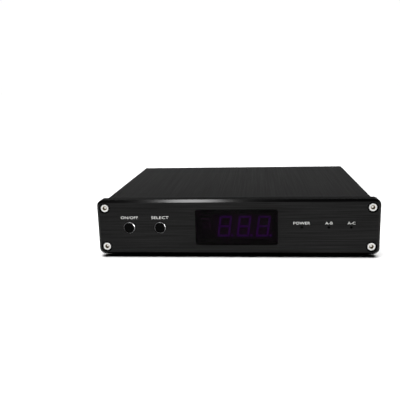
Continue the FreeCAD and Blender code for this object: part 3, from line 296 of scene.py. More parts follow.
@dataclass(frozen=True)
class PanelFinish(Finish):
    """A brushed face with polished bevels, and plain milled sides behind them.

    Attributes:
        face: the brushed plane's Y, in mm.
        tint: share of the reflection at a low angle that the brushed face keeps.
        bevel_end: Y where the bevels end and the sides start, in mm.
        bevel: colour of the bevels.
        bevel_tint: what the tint is on the bevels.
        milled: colour of the sides.
        milled_tint: what the tint is on the sides.
        milled_rough: roughness of the bevels and the sides.
    """

    face: float = -79.75
    tint: float = 0.55
    bevel_end: float = -78.15
    bevel: str = "#1c1c1c"
    bevel_tint: float = 0.6
    milled: str = "#121212"
    milled_tint: float = 0.3
    milled_rough: float = 0.17

    def colour(self, tree: Tree, pattern: Socket) -> Socket:
        """Return the brushed colour on the face, and the colours of the bevels and sides behind it."""
        plain = mix(tree, self.behind(tree, self.bevel_end), srgb(self.bevel), srgb(self.milled))
        return mix(tree, self.behind(tree, self.face), super().colour(tree, pattern), plain)

    def shade(self, tree: Tree) -> bpy.types.Node:
        """Change the shader's roughness, height and low-angle reflection behind the face.

        Args:
            tree: the material's nodes.

        Returns:
            The shader.
        """
        shader = super().shade(tree)
        share = self.behind(tree, self.face)
        brushed = shader.inputs["Roughness"].links[0].from_socket
        bump = shader.inputs["Normal"].links[0].from_node
        sides = remap(tree, self.behind(tree, self.bevel_end), (self.bevel_tint, self.milled_tint))
        changes = ((shader.inputs["Roughness"], brushed, self.milled_rough),
                   (bump.inputs["Strength"], 1.0, 0.0),
                   (shader.inputs["Specular Tint"], self.tint, sides))
        for socket, on_face, behind_face in changes:
            tree.links.new(remap(tree, share, (on_face, behind_face)), socket)
        return shader


@dataclass(frozen=True)
class TintedFinish(Finish):
    """A dyed sheet: a smooth front over a body that lets light of one colour through.

    Attributes:
        tint: the light that one face lets through.
        clear: the share of the front that is see-through.
        front: Y in mm behind which there is only the body.
    """

    tint: str = "#ffffff"
    clear: float = 0.9
    front: float = -79.6

    def shade(self, tree: Tree) -> bpy.types.Node:
        """Mix the front's shader with the dyed body, and leave the body alone behind the front.

        Args:
            tree: the material's nodes.

        Returns:
            The mixed shader.
        """
        through = add(tree, "BsdfTransparent", {"Color": srgb(self.tint)})
        share = remap(tree, self.behind(tree, self.front), (self.clear, 1.0))
        return add(tree, "MixShader", {0: share, 1: super().shade(tree).outputs[0], 2: through.outputs[0]})


@dataclass(frozen=True)
class BoardFinish(Finish):
    """Solder mask over copper tracks, with round soldered pads on a grid.

    Attributes:
        track: colour of the mask over a track.
        pad: colour of a pad.
        track_pitch: from one track to the next, in mm.
        track_size: width of a track and its length between two joins, in track pitches.
        pad_pitch: from one place of a pad to the next, in mm.
        pad_radius: of a pad, in pad pitches.
        pad_level: height of the pattern above which the places have pads.
    """

    track: str = "#2a8a4a"
    pad: str = "#b9bcb8"
    track_pitch: float = 1.27
    track_size: tuple[float, float] = (0.12, 7.0)
    pad_pitch: float = 2.54
    pad_radius: float = 0.2
    pad_level: float = 0.52

    def colour(self, tree: Tree, pattern: Socket) -> Socket:
        """Put tracks and pads on the mask's plain colour.

        Args:
            tree: the material's nodes.
            pattern: the noise.

        Returns:
            The colour.
        """
        width, length = self.track_size
        rows = self.counted(tree, *[self.track_pitch] * 3)
        tracks = add(tree, "TexBrick", {"Vector": rows, "Scale": 1.0, "Mortar Size": width,
                                        "Brick Width": length, "Row Height": 1.0})
        with_tracks = mix(tree, tracks.outputs["Fac"], super().colour(tree, pattern), srgb(self.track))
        grid = self.counted(tree, *[self.pad_pitch] * 3)
        spots = add(tree, "TexVoronoi", {"Vector": grid, "Scale": 1.0, "Randomness": 0.0},
                    voronoi_dimensions="2D")
        near = add(tree, "Math", {0: spots.outputs["Distance"], 1: self.pad_radius}, operation="LESS_THAN")
        some = add(tree, "Math", {0: pattern, 1: self.pad_level}, operation="GREATER_THAN")
        both = add(tree, "Math", {0: near.outputs[0], 1: some.outputs[0]}, operation="MULTIPLY")
        return mix(tree, both.outputs[0], with_tracks, srgb(self.pad))


# ---- finishes

# Brushed, then anodised and dyed black: fine level lines, a soft sheen and a dim reflection at a low angle.
PANEL_ANODISED = PanelFinish(
    "aluminium_brushed_level_anodised_black", "#111111", "#232323", (0.3, 0.42), (40.0, 1.0, 0.5), 0.008, 1.0)
# The same with the lines running from front to rear, on extruded shells.
CASE_ANODISED = Finish(
    "aluminium_brushed_lengthwise_anodised_black", "#232323", "#373737", (0.44, 0.56), (0.5, 60.0, 0.5),
    0.003, 1.0, {"Specular Tint": (0.48, 0.48, 0.48, 1.0)})
# Powder coating: an even, slightly pebbled satin black.
REAR_COAT = Finish(
    "steel_powder_coated_black", "#151517", "#1e1e20", (0.45, 0.6), (0.5, 0.5, 0.5), 0.02)
# Turned and left bare: bright, with slight tool marks.
STAINLESS = Finish(
    "stainless_steel_turned", "#9b9b99", "#d2d2d0", (0.16, 0.3), (0.8, 2.0, 0.8), 0.004, 1.0)
# The same, with painted shade: a dull brown-grey ring inside each hex socket, so each is a dark spot in a
# bright head.
STAINLESS_PAINTED_SOCKET_SHADE = BandedFinish(
    "stainless_steel_turned_painted_socket_shade", "#9b9b99", "#d2d2d0", (0.16, 0.3), (0.8, 2.0, 0.8), 0.004, 1.0,
    accent="#7d7466", measure=Measure.RADIUS, start=0.6, pitch=20.0, share=0.045, centre=(0.0871, 0.0131),
    mirror=(0.0, 0.0208))
# Black oxide: dull black steel with a brown cast where it thins.
BLACK_OXIDE = Finish(
    "steel_black_oxide", "#141415", "#242221", (0.35, 0.5), (0.4, 0.8, 0.4), 0.003, 1.0)
# Moulded rubber: dull, with a faint grain from the mould.
RUBBER = Finish("rubber_moulded", "#121212", "#1d1d1d", (0.75, 0.9), (0.4, 0.4, 0.4), 0.02)
# Cast acrylic dyed violet, with a coating against reflections: smooth, and dark where nothing behind is lit.
SMOKED_ACRYLIC = TintedFinish(
    "acrylic_cast_dyed_violet", "#0b0b0b", "#0d0d0d", (0.08, 0.12), (8.0, 8.0, 8.0), 0.0, 0.0,
    {"IOR": 1.49, "Specular IOR Level": 0.08}, tint="#c071bd", clear=0.72)
# The display's face: a moulded reflector, matt and nearly black.
REFLECTOR = Finish("abs_moulded_matt_black", "#1c1220", "#241829", (0.6, 0.75), (0.8, 0.8, 0.8), 0.01)
# Unlit diffusers: cast resin with a violet filter dye.
DIFFUSER = Finish("epoxy_cast_violet_diffuser", "#8a3edb", "#9749ea", (0.45, 0.55), (0.6, 0.6, 0.6), 0.004)
# The receiver's body: clear resin dyed to pass infrared only.
RECEIVER = Finish("epoxy_cast_infrared_dye", "#170a1c", "#1f0e26", (0.3, 0.4), (1.5, 1.5, 1.5), 0.002)
# Glass epoxy under a glossy green mask: paler over the copper tracks, with tin on the soldered pads.
BOARD = BoardFinish("glass_epoxy_solder_mask_green", "#0e4f28", "#136032", (0.3, 0.42), (9.0, 9.0, 9.0), 0.01)
# The board behind the window has a matt black mask, printed over its pads too, so that it doesn't show.
FRONT_BOARD = BoardFinish(
    "glass_epoxy_solder_mask_black", "#0d0d0f", "#131315", (0.5, 0.62), (9.0, 9.0, 9.0), 0.01,
    track="#17171a", pad="#1e1e21")
# Plated, slightly warm and soft.
NICKEL = Finish("brass_turned_nickel_plated", "#b4b1a6", "#d2cfc4", (0.22, 0.34), (0.5, 1.2, 0.5), 0.003, 1.0)
# A thin flash of gold over turned brass.
GOLD = Finish("brass_turned_gold_flashed", "#c79436", "#e8bd62", (0.18, 0.3), (0.5, 1.2, 0.5), 0.003, 1.0)
# Smoked polycarbonate rods: they look black until lit.
LIGHT_GUIDE = Finish("polycarbonate_moulded_smoked", "#010101", "#020202", (0.3, 0.4), (0.6, 0.6, 0.6), 0.002,
                     0.0, {"Specular IOR Level": 0.0})
# Clear resin cast round each diode: smooth and glassy, milky where it is thick.
LED_RESIN = Finish("epoxy_cast_clear", "#d3d8cf", "#e4e8de", (0.12, 0.2), (0.8, 0.8, 0.8), 0.002)
# Moulded nylon: satin black with a fine grain from the mould.
NYLON = Finish("nylon_moulded_black", "#161616", "#202020", (0.45, 0.6), (0.7, 0.7, 0.7), 0.006)
# Moulded polyester covers: a strong blue, fairly glossy, with slight sink marks.
RELAY_COVER = Finish("polyester_moulded_blue", "#0f3a78", "#16478c", (0.3, 0.42), (1.2, 1.2, 1.2), 0.006)
# Filled epoxy, as moulded: dull charcoal with a sandy grain.
CHIP = Finish("epoxy_moulded_chip", "#1b1b1c", "#29292b", (0.55, 0.7), (0.3, 0.3, 0.3), 0.01)
# Shrink sleeve: glossy dark blue with one pale stripe along the negative side.
SLEEVE = BandedFinish(
    "pvc_shrink_sleeve_blue", "#10183c", "#16204a", (0.18, 0.28), (2.0, 2.0, 6.0), 0.004,
    accent="#c9ccd2", measure=Measure.X, start=70.2, pitch=40.0, share=0.04)
# Grey flat cable, 1.27 mm per conductor: a darker stripe between two conductors is painted shade in the
# groove between their ridges.
RIBBON = BandedFinish(
    "pvc_ribbon_grey", "#7b7d81", "#888a8e", (0.4, 0.5), (0.6, 4.0, 4.0), 0.004,
    accent="#5d5f63", measure=Measure.X, start=0.0, pitch=1.27, share=0.3)
# Undyed moulded nylon: ivory, slightly waxy.
HEADER = Finish("nylon_moulded_ivory", "#c9c3ae", "#d8d2bd", (0.4, 0.55), (0.9, 0.9, 0.9), 0.006)
# Wires: red to the plus posts and black to the minus posts, which take turns across the rear.
WIRE = BandedFinish(
    "pvc_extruded_wire", "#0e0e0e", "#161616", (0.3, 0.4), (1.0, 6.0, 1.0), 0.003,
    accent="#8e1214", measure=Measure.X, start=38.0, pitch=46.0, share=0.5)
# Moulded phenolic: hard, satin black.
INSULATOR = Finish("phenolic_moulded_black", "#131313", "#1b1b1b", (0.3, 0.42), (0.8, 0.8, 0.8), 0.006)
# Caps moulded in polycarbonate that is dyed through: glossy, with faint flow lines along the flutes.
CAP_RED = Finish("polycarbonate_moulded_red", "#8c0b10", "#a31218", (0.16, 0.26), (1.6, 3.0, 1.6), 0.004)
CAP_BLACK = Finish("polycarbonate_moulded_black", "#0c0c0c", "#141414", (0.16, 0.26), (1.6, 3.0, 1.6), 0.004)
# Screen printing: a flat off-white ink with pinholes too fine to see, drawn as a faint mottle.
INK = Finish("ink_screen_printed_white", "#d9dad6", "#ececea", (0.5, 0.65), (0.4, 0.4, 0.4), 0.002)
# The floor's matt white paper.
PAPER = Finish("paper_white_matt", "#f6f6f6", "#fafafa", (0.9, 0.95), (40.0, 40.0, 40.0), 0.0, 0.0,
               {"Specular IOR Level": 0.0})


# ---- mesh tools


def link_new(name: str, data: bpy.types.ID) -> Piece:
    """Make an object of a mesh, lettering, camera or light, and link it to the scene.

    Args:
        name: the object's name.
        data: what it holds.

    Returns:
        The new object.
    """
    made = bpy.data.objects.new(name, data)
    bpy.context.scene.collection.objects.link(made)
    return made


def points_of(mesh: bpy.types.Mesh) -> np.ndarray:
    """Read the points of a mesh.

    Args:
        mesh: the mesh.

    Returns:
        Its points, one row each.
    """
    points = np.empty(len(mesh.vertices) * 3)
    mesh.vertices.foreach_get("co", points)
    return points.reshape(-1, 3)


def final_mesh(piece: Piece) -> bpy.types.Mesh:
    """Return a new mesh of an object as its modifiers or its lettering shape it."""
    return bpy.data.meshes.new_from_object(piece.evaluated_get(bpy.context.evaluated_depsgraph_get()))


def middle_of(name: str) -> tuple[float, float]:
    """Return X and Z of the middle of a node's box."""
    low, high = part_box(name)
    return (low.x + high.x) / 2, (low.z + high.z) / 2


def to_mesh(name: str, points: np.ndarray, faces: list[list[int]], smooth: bool = True) -> Piece:
    """Make an object at the origin from arrays, its close points merged and its faces turned outwards.

    Args:
        name: the piece's name.
        points: places, one row each.
        faces: the point numbers of each face.
        smooth: whether the faces are shaded smooth.

    Returns:
        The new object.
    """
    mesh = bpy.data.meshes.new(name)
    mesh.from_pydata(points.tolist(), [], faces)
    work = bmesh.new()
    work.from_mesh(mesh)
    bmesh.ops.remove_doubles(work, verts=work.verts, dist=MERGE_WITHIN)
    bmesh.ops.recalc_face_normals(work, faces=work.faces)
    work.to_mesh(mesh)
    work.free()
    mesh.polygons.foreach_set("use_smooth", [smooth] * len(mesh.polygons))
    return link_new(name, mesh)


def round_faces(rows: int, columns: int) -> list[list[int]]:
    """Number the corners of the four-sided faces of a grid whose columns go round and close.

    Args:
        rows: rows of points.
        columns: points in a row.

    Returns:
        The faces.
    """
    row, column = np.meshgrid(np.arange(rows - 1), np.arange(columns), indexing="ij")
    after = (column + 1) % columns
    corners = (row * columns + column, (row + 1) * columns + column,
               (row + 1) * columns + after, row * columns + after)
    return np.stack(corners, axis=-1).reshape(-1, 4).tolist()


def slabs(name: str, outlines: list[np.ndarray], front: float, back: float) -> Piece:
    """Make flat pieces that stand upright: each outline at the front and at the back, joined by a wall.

    Args:
        name: the piece's name.
        outlines: X and Z of the corners, one array per slab.
        front: Y of the front faces.
        back: Y of the back faces.

    Returns:
        The new object.
    """
    points, faces, first = [], [], 0
    for outline in outlines:
        ring = np.arange(len(outline))
        near, far = first + ring, first + len(outline) + ring
        points += [np.insert(outline, 1, y, axis=1) for y in (front, back)]
        faces += [near.tolist(), far[::-1].tolist()]
        faces += np.stack([near, np.roll(near, -1), np.roll(far, -1), far], axis=-1).tolist()
        first += 2 * len(outline)
    return to_mesh(name, np.concatenate(points), faces, smooth=False)


def copies_at(piece: Piece, name: str, places: np.ndarray) -> Piece:
    """Make one piece of a mesh repeated at several places: its points plus each place.

    Args:
        piece: the object with the mesh, which is removed.
        name: the new piece's name.
        places: one row of X, Y and Z per copy.

    Returns:
        The new object.
    """
    mesh = piece.data
    work = bmesh.new()
    work.from_mesh(mesh)
    bmesh.ops.triangulate(work, faces=work.faces)
    work.to_mesh(mesh)
    work.free()
    points = points_of(mesh)
    corners = np.empty(len(mesh.loops), dtype=np.int32)
    mesh.loops.foreach_get("vertex_index", corners)
    bpy.data.objects.remove(piece)
    every = (points[None] + places[:, None]).reshape(-1, 3)
    steps = np.arange(len(places))[:, None] * len(points)
    return to_mesh(name, every, (corners[None] + steps).reshape(-1, 3).tolist())


class Facing(Enum):
    """The side that lettering is read from."""

    FRONT = "front"
    REAR = "rear"


@dataclass(frozen=True)
class Label:
    """One printed word.

    Attributes:
        name: the piece's name.
        text: the letters.
        x: middle of the word, in mm.
        z: foot of the letters, in mm.
        height: height of a capital, in mm.
        width: width of the word in mm, or zero for the letters' own.
    """

    name: str
    text: str
    x: float
    z: float
    height: float
    width: float = 0.0


@dataclass(frozen=True)
class Printing:
    """Lettering on one plane.

    Attributes:
        facing: the side it is read from.
        plane: the printed plane's Y.
        labels: the words.
        thickness: of the ink, of which half lies behind the plane.
        curve_steps: straight steps in each stretch of a letter's curve.
    """

    facing: Facing
    plane: float
    labels: tuple[Label, ...]
    thickness: float = 0.03 * MM
    curve_steps: int = 3

    def outline(self, text: str) -> tuple[np.ndarray, list[tuple[int, ...]]]:
        """Draw a word in the built-in sans letters, its foot at zero, half a unit thick to either side.

        Args:
            text: the word.

        Returns:
            Its points, one row each, and the point numbers of its faces.
        """
        curve = bpy.data.curves.new("letters", "FONT")
        curve.body = text
        curve.extrude = 0.5
        curve.resolution_u = self.curve_steps
        holder = link_new("letters", curve)
        mesh = final_mesh(holder)
        points = points_of(mesh)
        faces = [tuple(face.vertices) for face in mesh.polygons]
        bpy.data.objects.remove(holder)
        bpy.data.meshes.remove(mesh)
        return points, faces

    def word(self, label: Label) -> Piece:
        """Make one word.

        The letters' right, up and forward become X, Z and -Y on the front, and -X, Z and Y on the rear.

        Args:
            label: the word.

        Returns:
            The piece, riding on the root.
        """
        points, faces = self.outline(label.text)
        capital, _ = self.outline("E")
        up = label.height * MM / np.ptp(capital[:, 1])
        across = label.width * MM / np.ptp(points[:, 0]) if label.width else up
        middle = (points[:, 0].max() + points[:, 0].min()) / 2
        side = 1 if self.facing is Facing.FRONT else -1
        placed = np.stack([
            label.x * MM + side * (points[:, 0] - middle) * across,
            self.plane - side * points[:, 2] * self.thickness,
            label.z * MM + points[:, 1] * up,
        ], axis=-1)
        mesh = bpy.data.meshes.new(label.name)
        mesh.from_pydata(placed.tolist(), [], faces)
        piece = link_new(label.name, mesh)
        INK.put_on(piece)
        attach(piece, "root")
        return piece

    def build(self) -> list[Piece]:
        """Make every word."""
        return [self.word(label) for label in self.labels]


# ---- sub-assemblies


@dataclass
class SubAssembly:
    """Pieces that are made and dressed together."""

    def finishes(self) -> dict[str, Finish]:
        """Return the finish of each carried node."""
        return {}

    def build(self) -> list[Piece]:
        """Make the new pieces."""
        return []

    def make(self) -> None:
        """Dress the carried nodes, make the new pieces and report them."""
        for name, finish in self.finishes().items():
            finish.put_on(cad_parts[name])
            log.info("%s: %s wears %s", type(self).__name__, name, finish.name)
        for piece in self.build():
            log.info("%s: made %s, %d faces", type(self).__name__, piece.name, len(piece.data.polygons))


@dataclass
class FrontPanel(SubAssembly):
    """The thick front panel with its printing.

    Attributes:
        letter_height: height of a capital, in mm.
        button_foot: foot of the words over the buttons, in mm.
        light_foot: foot of the words over the lights, in mm.
    """

    letter_height: float = 1.75
    button_foot: float = 26.7
    light_foot: float = 22.75

    def finishes(self) -> dict[str, Finish]:
        """Return the panel's finish."""
        return {"front_panel": PANEL_ANODISED}

    def build(self) -> list[Piece]:
        """Print the words over the buttons and the lights.

        Returns:
            The words.
        """
        # Each row has the text, and in mm the X of its middle, the Z of its foot and its width.
        rows = (("ON/OFF", -70.7, self.button_foot, 11.5), ("SELECT", -50.3, self.button_foot, 11.6),
                ("POWER", 42.3, self.light_foot, 10.7), ("A-B", 59.6, self.light_foot, 4.8),
                ("A-C", 73.9, self.light_foot, 4.9))
        labels = tuple(Label("front_word_" + text.lower().replace("/", "_").replace("-", "_"), text, x, z,
                             self.letter_height, width) for text, x, z, width in rows)
        return Printing(Facing.FRONT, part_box("front_panel")[0].y, labels).build()


@dataclass
class PushButtons(SubAssembly):
    """Two turned push buttons, anodised black, with a bare bevel round the face.

    Attributes:
        bare_radius: where the bare metal starts, in mm.
    """

    bare_radius: float = 3.45

    def finishes(self) -> dict[str, Finish]:
        """Give each button a finish with one ring, on its bevel, about its own axis.

        Returns:
            The finish of each button.
        """
        made = {}
        for name in ("power_button", "select_button"):
            made[name] = BandedFinish(
                f"aluminium_turned_anodised_black_{name}", "#050505", "#0b0b0b", (0.34, 0.42),
                (0.4, 2.0, 0.4), 0.002, 1.0, {"Specular Tint": (0.2, 0.2, 0.2, 1.0)}, accent="#9c9d9e",
                measure=Measure.RADIUS, start=self.bare_radius, pitch=20.0, share=0.2, centre=middle_of(name))
        return made


@dataclass
class Display(SubAssembly):
    """The dyed window, and the three-digit module and infrared receiver behind it. Sizes are in mm.

    Attributes:
        digit_middles: X of the digits' middles.
        size: width and height of a digit.
        stroke: width of a bar.
        gap: between two bars.
        slant: lean of the digits to the right, in degrees.
        point_place: X and Z of a decimal point from the digit's middle.
        point_radius: of a decimal point.
        point_corners: corners that a decimal point is drawn with.
    """

    digit_middles: tuple[float, ...] = (-7.8, 4.9, 17.6)
    size: tuple[float, float] = (8.2, 14.2)
    stroke: float = 1.35
    gap: float = 0.22
    slant: float = 7.5
    point_place: tuple[float, float] = (4.77, -6.3)
    point_radius: float = 0.85
    point_corners: int = 20

    def finishes(self) -> dict[str, Finish]:
        """Return the finishes of the window and what is behind it."""
        return {"display_window": SMOKED_ACRYLIC, "display_module": REFLECTOR, "display_segments": DIFFUSER,
                "infrared_receiver": RECEIVER}

    def bars(self) -> list[np.ndarray]:
        """Draw an upright digit's seven bars.

        Level and upright bars meet in 45 degree cuts at the digit's corners, and the middle bar is pointed.

        Returns:
            Each bar's corners, as X and Z in mm from the digit's middle.
        """
        wide, high = np.array(self.size) / 2
        wide_in, half, gap = wide - self.stroke, self.stroke / 2, self.gap
        level = np.array([(gap - wide, high), (wide - gap, high), (wide_in - gap, high - self.stroke),
                          (gap - wide_in, high - self.stroke)])
        upright = np.array([(wide, high - gap), (wide, gap / 2), (wide - half, gap / 2),
                            (wide_in, half + gap), (wide_in, high - gap - self.stroke)])
        tip, shoulder = wide - half - gap, wide_in - gap
        middle = np.array([(-tip, 0), (-shoulder, half), (shoulder, half), (tip, 0), (shoulder, -half),
                           (-shoulder, -half)])
        sides = [upright * (x, z) for x in (1, -1) for z in (1, -1)]
        return [level, level * (1, -1), *sides, middle]

    def build(self) -> list[Piece]:
        """Make the diffusers with mitred bars: a bar's X moves by its Z times the tangent of the slant.

        Returns:
            The diffusers, as one piece.
        """
        low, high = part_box("display_segments")
        turn = 2 * math.pi * np.arange(self.point_corners) / self.point_corners
        spot = np.stack([np.cos(turn), np.sin(turn)], axis=-1) * self.point_radius
        lean = np.array([(1, 0), (math.tan(math.radians(self.slant)), 1)])
        outlines = []
        for x in self.digit_middles:
            middle = (x * MM, (low.z + high.z) / 2)
            outlines += [bar @ lean * MM + middle for bar in self.bars()]
            outlines.append((spot + self.point_place) * MM + middle)
        segments = slabs("mitred_segments", outlines, low.y, high.y)
        DIFFUSER.put_on(segments)
        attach(segments, "root")
        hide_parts("display_segments")
        return [segments]


@dataclass
class Indicators(SubAssembly):
    """Light guides in the panel and the diodes behind them."""

    def finishes(self) -> dict[str, Finish]:
        """Return the finishes of the guides and the diodes."""
        return {"light_guides": LIGHT_GUIDE, "indicator_leds": LED_RESIN}


@dataclass
class Case(SubAssembly):
    """The case's two shells, the rear panel and the feet, with the rear printing. Sizes are in mm.

    Attributes:
        line_middles: X of the middle of each loudspeaker line's posts.
        row_middles: Z of the upper and the lower row of posts.
        post_step: from the middle of a line to its posts.
        pole_feet: Z of the feet of the signs over the upper row and under the lower row.
        line_letter: Z of the middle of the lines' letters.
        supply_word: X of the middle and Z of the foot of the supply's voltage.
        letter_height: height of a capital.
    """

    line_middles: tuple[float, ...] = (38.0, -8.0, -54.0)
    row_middles: tuple[float, ...] = (28.3, 13.3)
    post_step: float = 9.525
    pole_feet: tuple[float, ...] = (34.7, 4.7)
    line_letter: float = 20.8
    supply_word: tuple[float, float] = (73.0, 22.6)
    letter_height: float = 2.2

    def finishes(self) -> dict[str, Finish]:
        """Return the finishes of shells, rear panel and feet."""
        return {"upper_case": CASE_ANODISED, "lower_case": CASE_ANODISED, "rear_panel": REAR_COAT,
                "rubber_feet": RUBBER}

    def build(self) -> list[Piece]:
        """Print the lines' letters, the channels, the poles and the supply's voltage on the rear panel.

        Returns:
            The words.
        """
        high = self.letter_height
        rows = [("rear_word_supply", "DC 12V", *self.supply_word)]
        for letter, middle in zip("ABC", self.line_middles):
            rows.append((f"rear_line_{letter.lower()}", letter, middle, self.line_letter - high / 2))
            for channel, z, pole_foot in zip("LR", self.row_middles, self.pole_feet):
                stem = f"rear_{letter.lower()}_{channel.lower()}"
                rows += [(f"{stem}_channel", channel, middle, z - high / 2),
                         (f"{stem}_plus", "+", middle + self.post_step, pole_foot),
                         (f"{stem}_minus", "-", middle - self.post_step, pole_foot)]
        labels = tuple(Label(*row, high) for row in rows)
        return Printing(Facing.REAR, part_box("rear_panel")[1].y, labels).build()


@dataclass
class Fasteners(SubAssembly):
    """Screws, standoffs and spacers."""

    def finishes(self) -> dict[str, Finish]:
        """Return the finishes of the fasteners."""
        # The front screws wear painted shade inside their hex sockets.
        return {"front_screws": STAINLESS_PAINTED_SOCKET_SHADE, "front_board_screws": STAINLESS, "rear_screws": BLACK_OXIDE,
                "board_screws": BLACK_OXIDE, "board_standoffs": NICKEL, "front_board_spacers": NICKEL}


@dataclass
class Electronics(SubAssembly):
    """Boards, the parts on them, the supply inlet and the wiring."""

    def finishes(self) -> dict[str, Finish]:
        """Return the finishes of everything electrical inside, apart from the display and the lights."""
        return {"front_board": FRONT_BOARD, "main_board": BOARD, "tact_switches": NYLON,
                "relays": RELAY_COVER, "capacitors": SLEEVE, "control_chips": CHIP, "voltage_regulator": CHIP,
                "dc_jack": NYLON, "dc_jack_pin": NICKEL, "ribbon_cable": RIBBON, "ribbon_connectors": NYLON,
                "wire_headers": HEADER, "speaker_wires": WIRE}


@dataclass
class BindingPosts(SubAssembly):
    """Twelve binding posts: stem, flange, washer, nut, and a fluted cap with its insert.

    Sizes are in mm, and those that reach to a place are counted from the rear panel's face.

    Attributes:
        radius: over the thread's crests.
        thread_depth: crest to root.
        pitch: of the thread.
        inside: inwards to the thread's end.
        tail: inwards to the plain tail's end.
        tail_radius: of the tail.
        length: to the outer end.
        socket_radius: of the plug socket.
        socket_depth: of the plug socket.
        hole_place: to the cross hole's axis.
        hole_radius: of the cross hole.
        plain_end: from the thread's outer end to the stem's.
        tail_chamfer: on the tail's edge.
        end_chamfer: on the outer end's edge.
        socket_chamfer: on the plug socket's mouth.
        drill_point: depth of the cone in the plug socket's floor.
        columns: points round the stem.
        rows: rows of points in a turn of the thread.
        hole_columns: points round the cross hole.
        smooth_angle: degrees between two faces under which they are shaded as one.
    """

    radius: float = 2.98
    thread_depth: float = 0.45
    pitch: float = 1.0
    inside: float = 11.0
    tail: float = 16.5
    tail_radius: float = 1.6
    length: float = 18.0
    socket_radius: float = 2.05
    socket_depth: float = 11.0
    hole_place: float = 4.9
    hole_radius: float = 1.3
    plain_end: float = 0.4
    tail_chamfer: float = 0.2
    end_chamfer: float = 0.45
    socket_chamfer: float = 0.1
    drill_point: float = 0.9
    columns: int = 28
    rows: int = 6
    hole_columns: int = 20
    smooth_angle: float = 50.0

    def finishes(self) -> dict[str, Finish]:
        """Choose the finishes: red caps for the plus poles and black caps for the minus poles.

        Returns:
            The finish of each node of the posts.
        """
        made = {"post_stems": GOLD, "post_flanges": INSULATOR, "post_washers": INSULATOR, "post_nuts": NICKEL}
        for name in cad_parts:
            if name.startswith("post_cap_"):
                made[name] = CAP_RED if name.endswith("plus") else CAP_BLACK
            if name.startswith("post_insert_"):
                made[name] = GOLD
        return made

    def places(self) -> np.ndarray:
        """Return X, Y and Z of each post's axis in the rear panel's face, one row per post."""
        middles = np.array([middle_of(name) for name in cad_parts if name.startswith("post_cap_")])
        return np.insert(middles, 1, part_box("rear_panel")[1].y, axis=1)

    def stem(self) -> Piece:
        """Make one threaded stem about the Y axis.

        The radius is the profile's, less, on the thread, depth times a triangle wave of y / pitch - turn:
        zero at a crest, one at a root. Turn counts right-handed about Y, so that a cap which turns that way
        comes off. The grooves fade in over one pitch at each end.

        Returns:
            The stem, its cross hole cut.
        """
        outer = self.length - self.plain_end
        along = np.arange(-self.inside, outer, self.pitch / self.rows)
        thread = np.stack([np.full(len(along), self.radius), along], axis=-1)
        before = [(0, -self.tail), (self.tail_radius - self.tail_chamfer, -self.tail),
                  (self.tail_radius, self.tail_chamfer - self.tail), (self.tail_radius, -self.inside)]
        floor = self.length - self.socket_depth
        after = [(self.radius - self.end_chamfer, self.length),
                 (self.socket_radius + self.socket_chamfer, self.length),
                 (self.socket_radius, self.length - self.socket_chamfer), (self.socket_radius, floor),
                 (0, floor - self.drill_point)]
        profile = np.concatenate([before, thread, after])
        turn = np.arange(self.columns) / self.columns
        phase = profile[:, 1:2] / self.pitch - turn[None]
        wave = 2 * np.abs(phase - np.round(phase))
        fade = np.clip(np.minimum(profile[:, 1] + self.inside, outer - profile[:, 1]) / self.pitch, 0, 1)
        threaded = np.zeros(len(profile))
        threaded[len(before):len(before) + len(along)] = 1
        radius = profile[:, :1] - self.thread_depth * wave * (fade * threaded)[:, None]
        angle = 2 * math.pi * turn[None]
        height = np.broadcast_to(profile[:, 1:2], radius.shape)
        points = np.stack([radius * np.sin(angle), height, radius * np.cos(angle)], axis=-1)
        piece = to_mesh("stem", points.reshape(-1, 3) * MM, round_faces(len(profile), self.columns))
        cutter = self.cross_cutter()
        cut = piece.modifiers.new("cross_hole", "BOOLEAN")
        cut.operation = "DIFFERENCE"
        cut.solver = "EXACT"
        cut.object = cutter
        mesh = final_mesh(piece)
        piece.modifiers.clear()
        piece.data = mesh
        bpy.data.objects.remove(cutter)
        return piece

    def cross_cutter(self) -> Piece:
        """Make the rod that cuts the cross hole: a circle in Y and Z, carried along X past the stem.

        Returns:
            The rod, turned by part of a step so that none of its corners lies in the stem's middle plane.
        """
        part_step, beyond = 0.37, 1.5
        angle = 2 * math.pi * (np.arange(self.hole_columns) + part_step) / self.hole_columns
        reach = self.radius * beyond
        stations = np.array([(-reach, 0), (-reach, self.hole_radius), (reach, self.hole_radius), (reach, 0)])
        y = self.hole_place + stations[:, 1:] * np.cos(angle)[None]
        z = stations[:, 1:] * np.sin(angle)[None]
        x = np.broadcast_to(stations[:, :1], y.shape)
        points = np.stack([x, y, z], axis=-1).reshape(-1, 3) * MM
        return to_mesh("cross_cutter", points, round_faces(len(stations), self.hole_columns))

    def build(self) -> list[Piece]:
        """Make the twelve threaded stems that stand for the plain ones.

        Returns:
            The stems, as one piece.
        """
        stems = copies_at(self.stem(), "threaded_stems", self.places())
        shaded = stems.modifiers.new("edges", "EDGE_SPLIT")
        shaded.split_angle = math.radians(self.smooth_angle)
        GOLD.put_on(stems)
        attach(stems, "root")
        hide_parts("post_stems")
        return [stems]


# ---- studio


